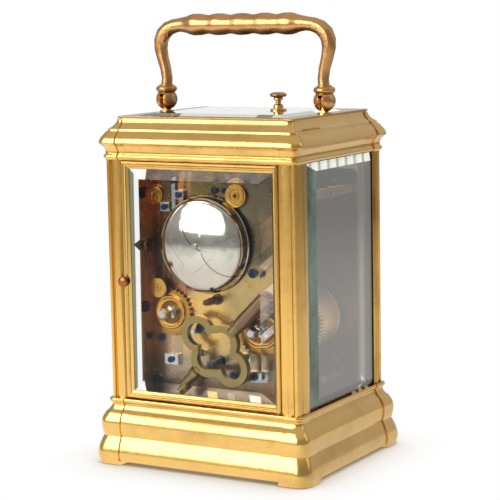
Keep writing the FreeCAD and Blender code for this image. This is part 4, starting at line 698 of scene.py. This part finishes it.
chapter("dial_chapter_marks", (0.0, 88.0), outer_ring=(27.6, 27.6 + 0.18),
        inner_ring=(26.0, 26.0 + 0.18), segments=180, ticks=60, tick_start=26.0,
        hour_tick=0.28, plain_tick=0.09, numeral_radius=21.6, numeral_height=6.6)
chapter("alarm_dial_marks", (-0.6, 43.6), outer_ring=(9.4, 9.55),
        inner_ring=(8.5, 8.6), segments=96, ticks=48, tick_start=8.6,
        hour_tick=0.12, plain_tick=0.05, numeral_radius=7.2, numeral_height=2.0)


# ---- floor and world ----------------------------------------------------------

FLOOR_HALF = 3.0


def bearing(deg):
    """Level direction; bearings run from +Y towards +X."""
    return (math.sin(math.radians(deg)), math.cos(math.radians(deg)), 0.0)


def floor_material():
    """White to the camera with a soft contact shade. To other rays it is a lit sweep that
    dims with distance, brighter towards +Y and dim straight beyond the clock."""
    mat, g = new_material("floor_white")
    ao = g.add("ShaderNodeAmbientOcclusion", {"Distance": 0.026}, samples=8)
    shade = g.ramp(ao.outputs["AO"], [(0.0, srgb(112, 84, 54)), (0.42, srgb(206, 190, 168)),
                                      (0.78, srgb(250, 247, 242)), (1.0, grey(1.0))])
    show = g.add("ShaderNodeEmission", {"Color": shade, "Strength": 1.0})
    spot = g.geometry()["Position"]
    reach = g.add("ShaderNodeVectorMath", {0: spot}, operation="LENGTH").outputs["Value"]
    near = g.fade(reach, 0.36, 0.95, low=1.0, high=0.34)
    rear = g.math("DIVIDE", g.dot(spot, (0.5, 0.866, 0.0)), reach)
    lit = g.times(near, g.fade(rear, -0.1, 0.6, low=0.66, high=1.02))
    beyond = g.math("DIVIDE", g.dot(spot, (0.530, -0.848, 0.0)), reach)
    lit = g.times(lit, g.fade(beyond, 0.86, 0.95, low=1.0, high=0.25))
    bounce = g.add("ShaderNodeEmission", {"Color": (1.0, 0.985, 0.955, 1.0), "Strength": lit})
    g.output(g.mix_shader(g.light_path()["Is Camera Ray"], bounce.outputs[0], show.outputs[0]))
    return mat


floor_mesh = bpy.data.meshes.new("floor")
floor_mesh.from_pydata([(-FLOOR_HALF, -FLOOR_HALF, 0), (FLOOR_HALF, -FLOOR_HALF, 0),
                        (FLOOR_HALF, FLOOR_HALF, 0), (-FLOOR_HALF, FLOOR_HALF, 0)],
                       [], [(0, 1, 2, 3)])
floor_mesh.materials.append(floor_material())
floor = bpy.data.objects.new("floor", floor_mesh)
scene.collection.objects.link(floor)


def build_world():
    """White to the camera, a dim studio with a brighter ceiling to everything else."""
    world = bpy.data.worlds.new("studio")
    scene.world = world
    world.use_nodes = True
    g = Graph(world.node_tree)
    ray = g.add("ShaderNodeTexCoord").outputs["Generated"]
    key_side = g.fade(g.dot(ray, bearing(50)), 0.3, 0.95)
    far_side = g.fade(g.dot(ray, bearing(165)), 0.35, 0.85)
    ceiling = g.fade(g.dot(ray, (0, 0, 1)), 0.55, 0.85)
    level = g.plus(0.30, g.times(key_side, 0.12))
    level = g.plus(level, g.times(far_side, 0.2))
    level = g.plus(g.times(level, g.minus(1.0, ceiling)), g.times(ceiling, 0.55))
    room = g.add("ShaderNodeBackground", {"Color": (1.0, 0.985, 0.96, 1.0), "Strength": level})
    white = g.add("ShaderNodeBackground", {"Color": grey(1.0), "Strength": 1.0})
    surface = g.mix_shader(g.light_path()["Is Camera Ray"], room.outputs[0], white.outputs[0])
    g.output(surface, "ShaderNodeOutputWorld")


build_world()

# ---- lights -------------------------------------------------------------------


def softbox(name, centre, target, width, height, radiance, colour=(1, 0.985, 0.96),
            only=None, clear=False):
    """Rectangular light of a given radiance. With only, just those nodes receive it;
    with clear, nothing but the floor blocks it."""
    light = bpy.data.lights.new(name, "AREA")
    light.shape = "RECTANGLE"
    light.size, light.size_y = width, height
    light.energy = radiance * math.pi * width * height
    light.color = colour
    lamp = bpy.data.objects.new(name, light)
    aim = (Vector(target) - Vector(centre)).normalized()
    lamp.rotation_euler = aim.to_track_quat("-Z", "Y").to_euler()
    lamp.location = centre
    lamp.visible_camera = False
    scene.collection.objects.link(lamp)
    if only:
        receivers = bpy.data.collections.new(name + "_receivers")
        for piece_name in only:
            receivers.objects.link(nodes[piece_name])
        lamp.light_linking.receiver_collection = receivers
    if clear:
        blockers = bpy.data.collections.new(name + "_blockers")
        blockers.objects.link(floor)
        lamp.light_linking.blocker_collection = blockers


def away(deg, elevation, distance, start):
    """Point at a bearing, elevation and distance from start."""
    tilt = math.radians(elevation)
    direction = Vector(bearing(deg)) * math.cos(tilt) + Vector((0, 0, math.sin(tilt)))
    return Vector(start) + direction * distance


MIDDLE = Vector((0, 0, 0.09))
ROOF = Vector((0, 0, 0.141))
# Large key box to the left of the camera, a weak fill on the -X side
softbox("key", away(25, 23, 0.95, MIDDLE), MIDDLE, width=0.86, height=0.62, radiance=3.6)
softbox("side_fill", away(-115, 30, 1.0, MIDDLE), MIDDLE, width=0.4, height=0.6, radiance=0.5)
# Bright wall mirrored by the flat of the top glass
softbox("top_card", away(151, 3.5, 0.45, ROOF), ROOF, width=0.30, height=0.16, radiance=0.56,
        colour=(1, 1, 0.985), only=["top_glass"], clear=True)
# Light on the dial side
softbox("dial_fill", (-0.25, -1.0, 0.42), MIDDLE, width=0.7, height=0.5, radiance=2.6,
        colour=(1, 1, 1), only=["dial", "hour_hand", "minute_hand", "alarm_arbor"])

# ---- camera and render --------------------------------------------------------

CAMERA_PLACE = Vector((-0.365984, 0.635365, 0.187345))
CAMERA_FORWARD = Vector((0.49276, -0.85930, -0.13705)).normalized()
CAMERA_LEVEL_RIGHT = Vector((-0.86749, -0.49745, 0)).normalized()
CAMERA_ROLL = math.radians(-1.072)

lens = bpy.data.cameras.new("photo_camera")
lens.sensor_fit = "HORIZONTAL"
lens.sensor_width = 36.0
lens.lens = 128.36376
lens.clip_start = 0.01
lens.clip_end = 20.0
camera = bpy.data.objects.new("photo_camera", lens)
level_up = CAMERA_LEVEL_RIGHT.cross(CAMERA_FORWARD).normalized()
cos_roll, sin_roll = math.cos(CAMERA_ROLL), math.sin(CAMERA_ROLL)
camera_right = CAMERA_LEVEL_RIGHT * cos_roll + level_up * sin_roll
camera_up = level_up * cos_roll - CAMERA_LEVEL_RIGHT * sin_roll
pose = Matrix.Identity(4)
for column, axis in enumerate((camera_right, camera_up, -CAMERA_FORWARD, CAMERA_PLACE)):
    for row in range(3):
        pose[row][column] = axis[row]
camera.matrix_world = pose
scene.collection.objects.link(camera)
scene.camera = camera

view = scene.view_settings
view.view_transform = "Standard"
view.look = "None"
view.exposure = 0.0
view.gamma = 1.0
cycles = scene.cycles
cycles.max_bounces = 14
cycles.transmission_bounces = 10
cycles.glossy_bounces = 6
cycles.transparent_max_bounces = 16
cycles.caustics_reflective = False
cycles.caustics_refractive = False
cycles.blur_glossy = 0.3
cycles.sample_clamp_indirect = 6.0
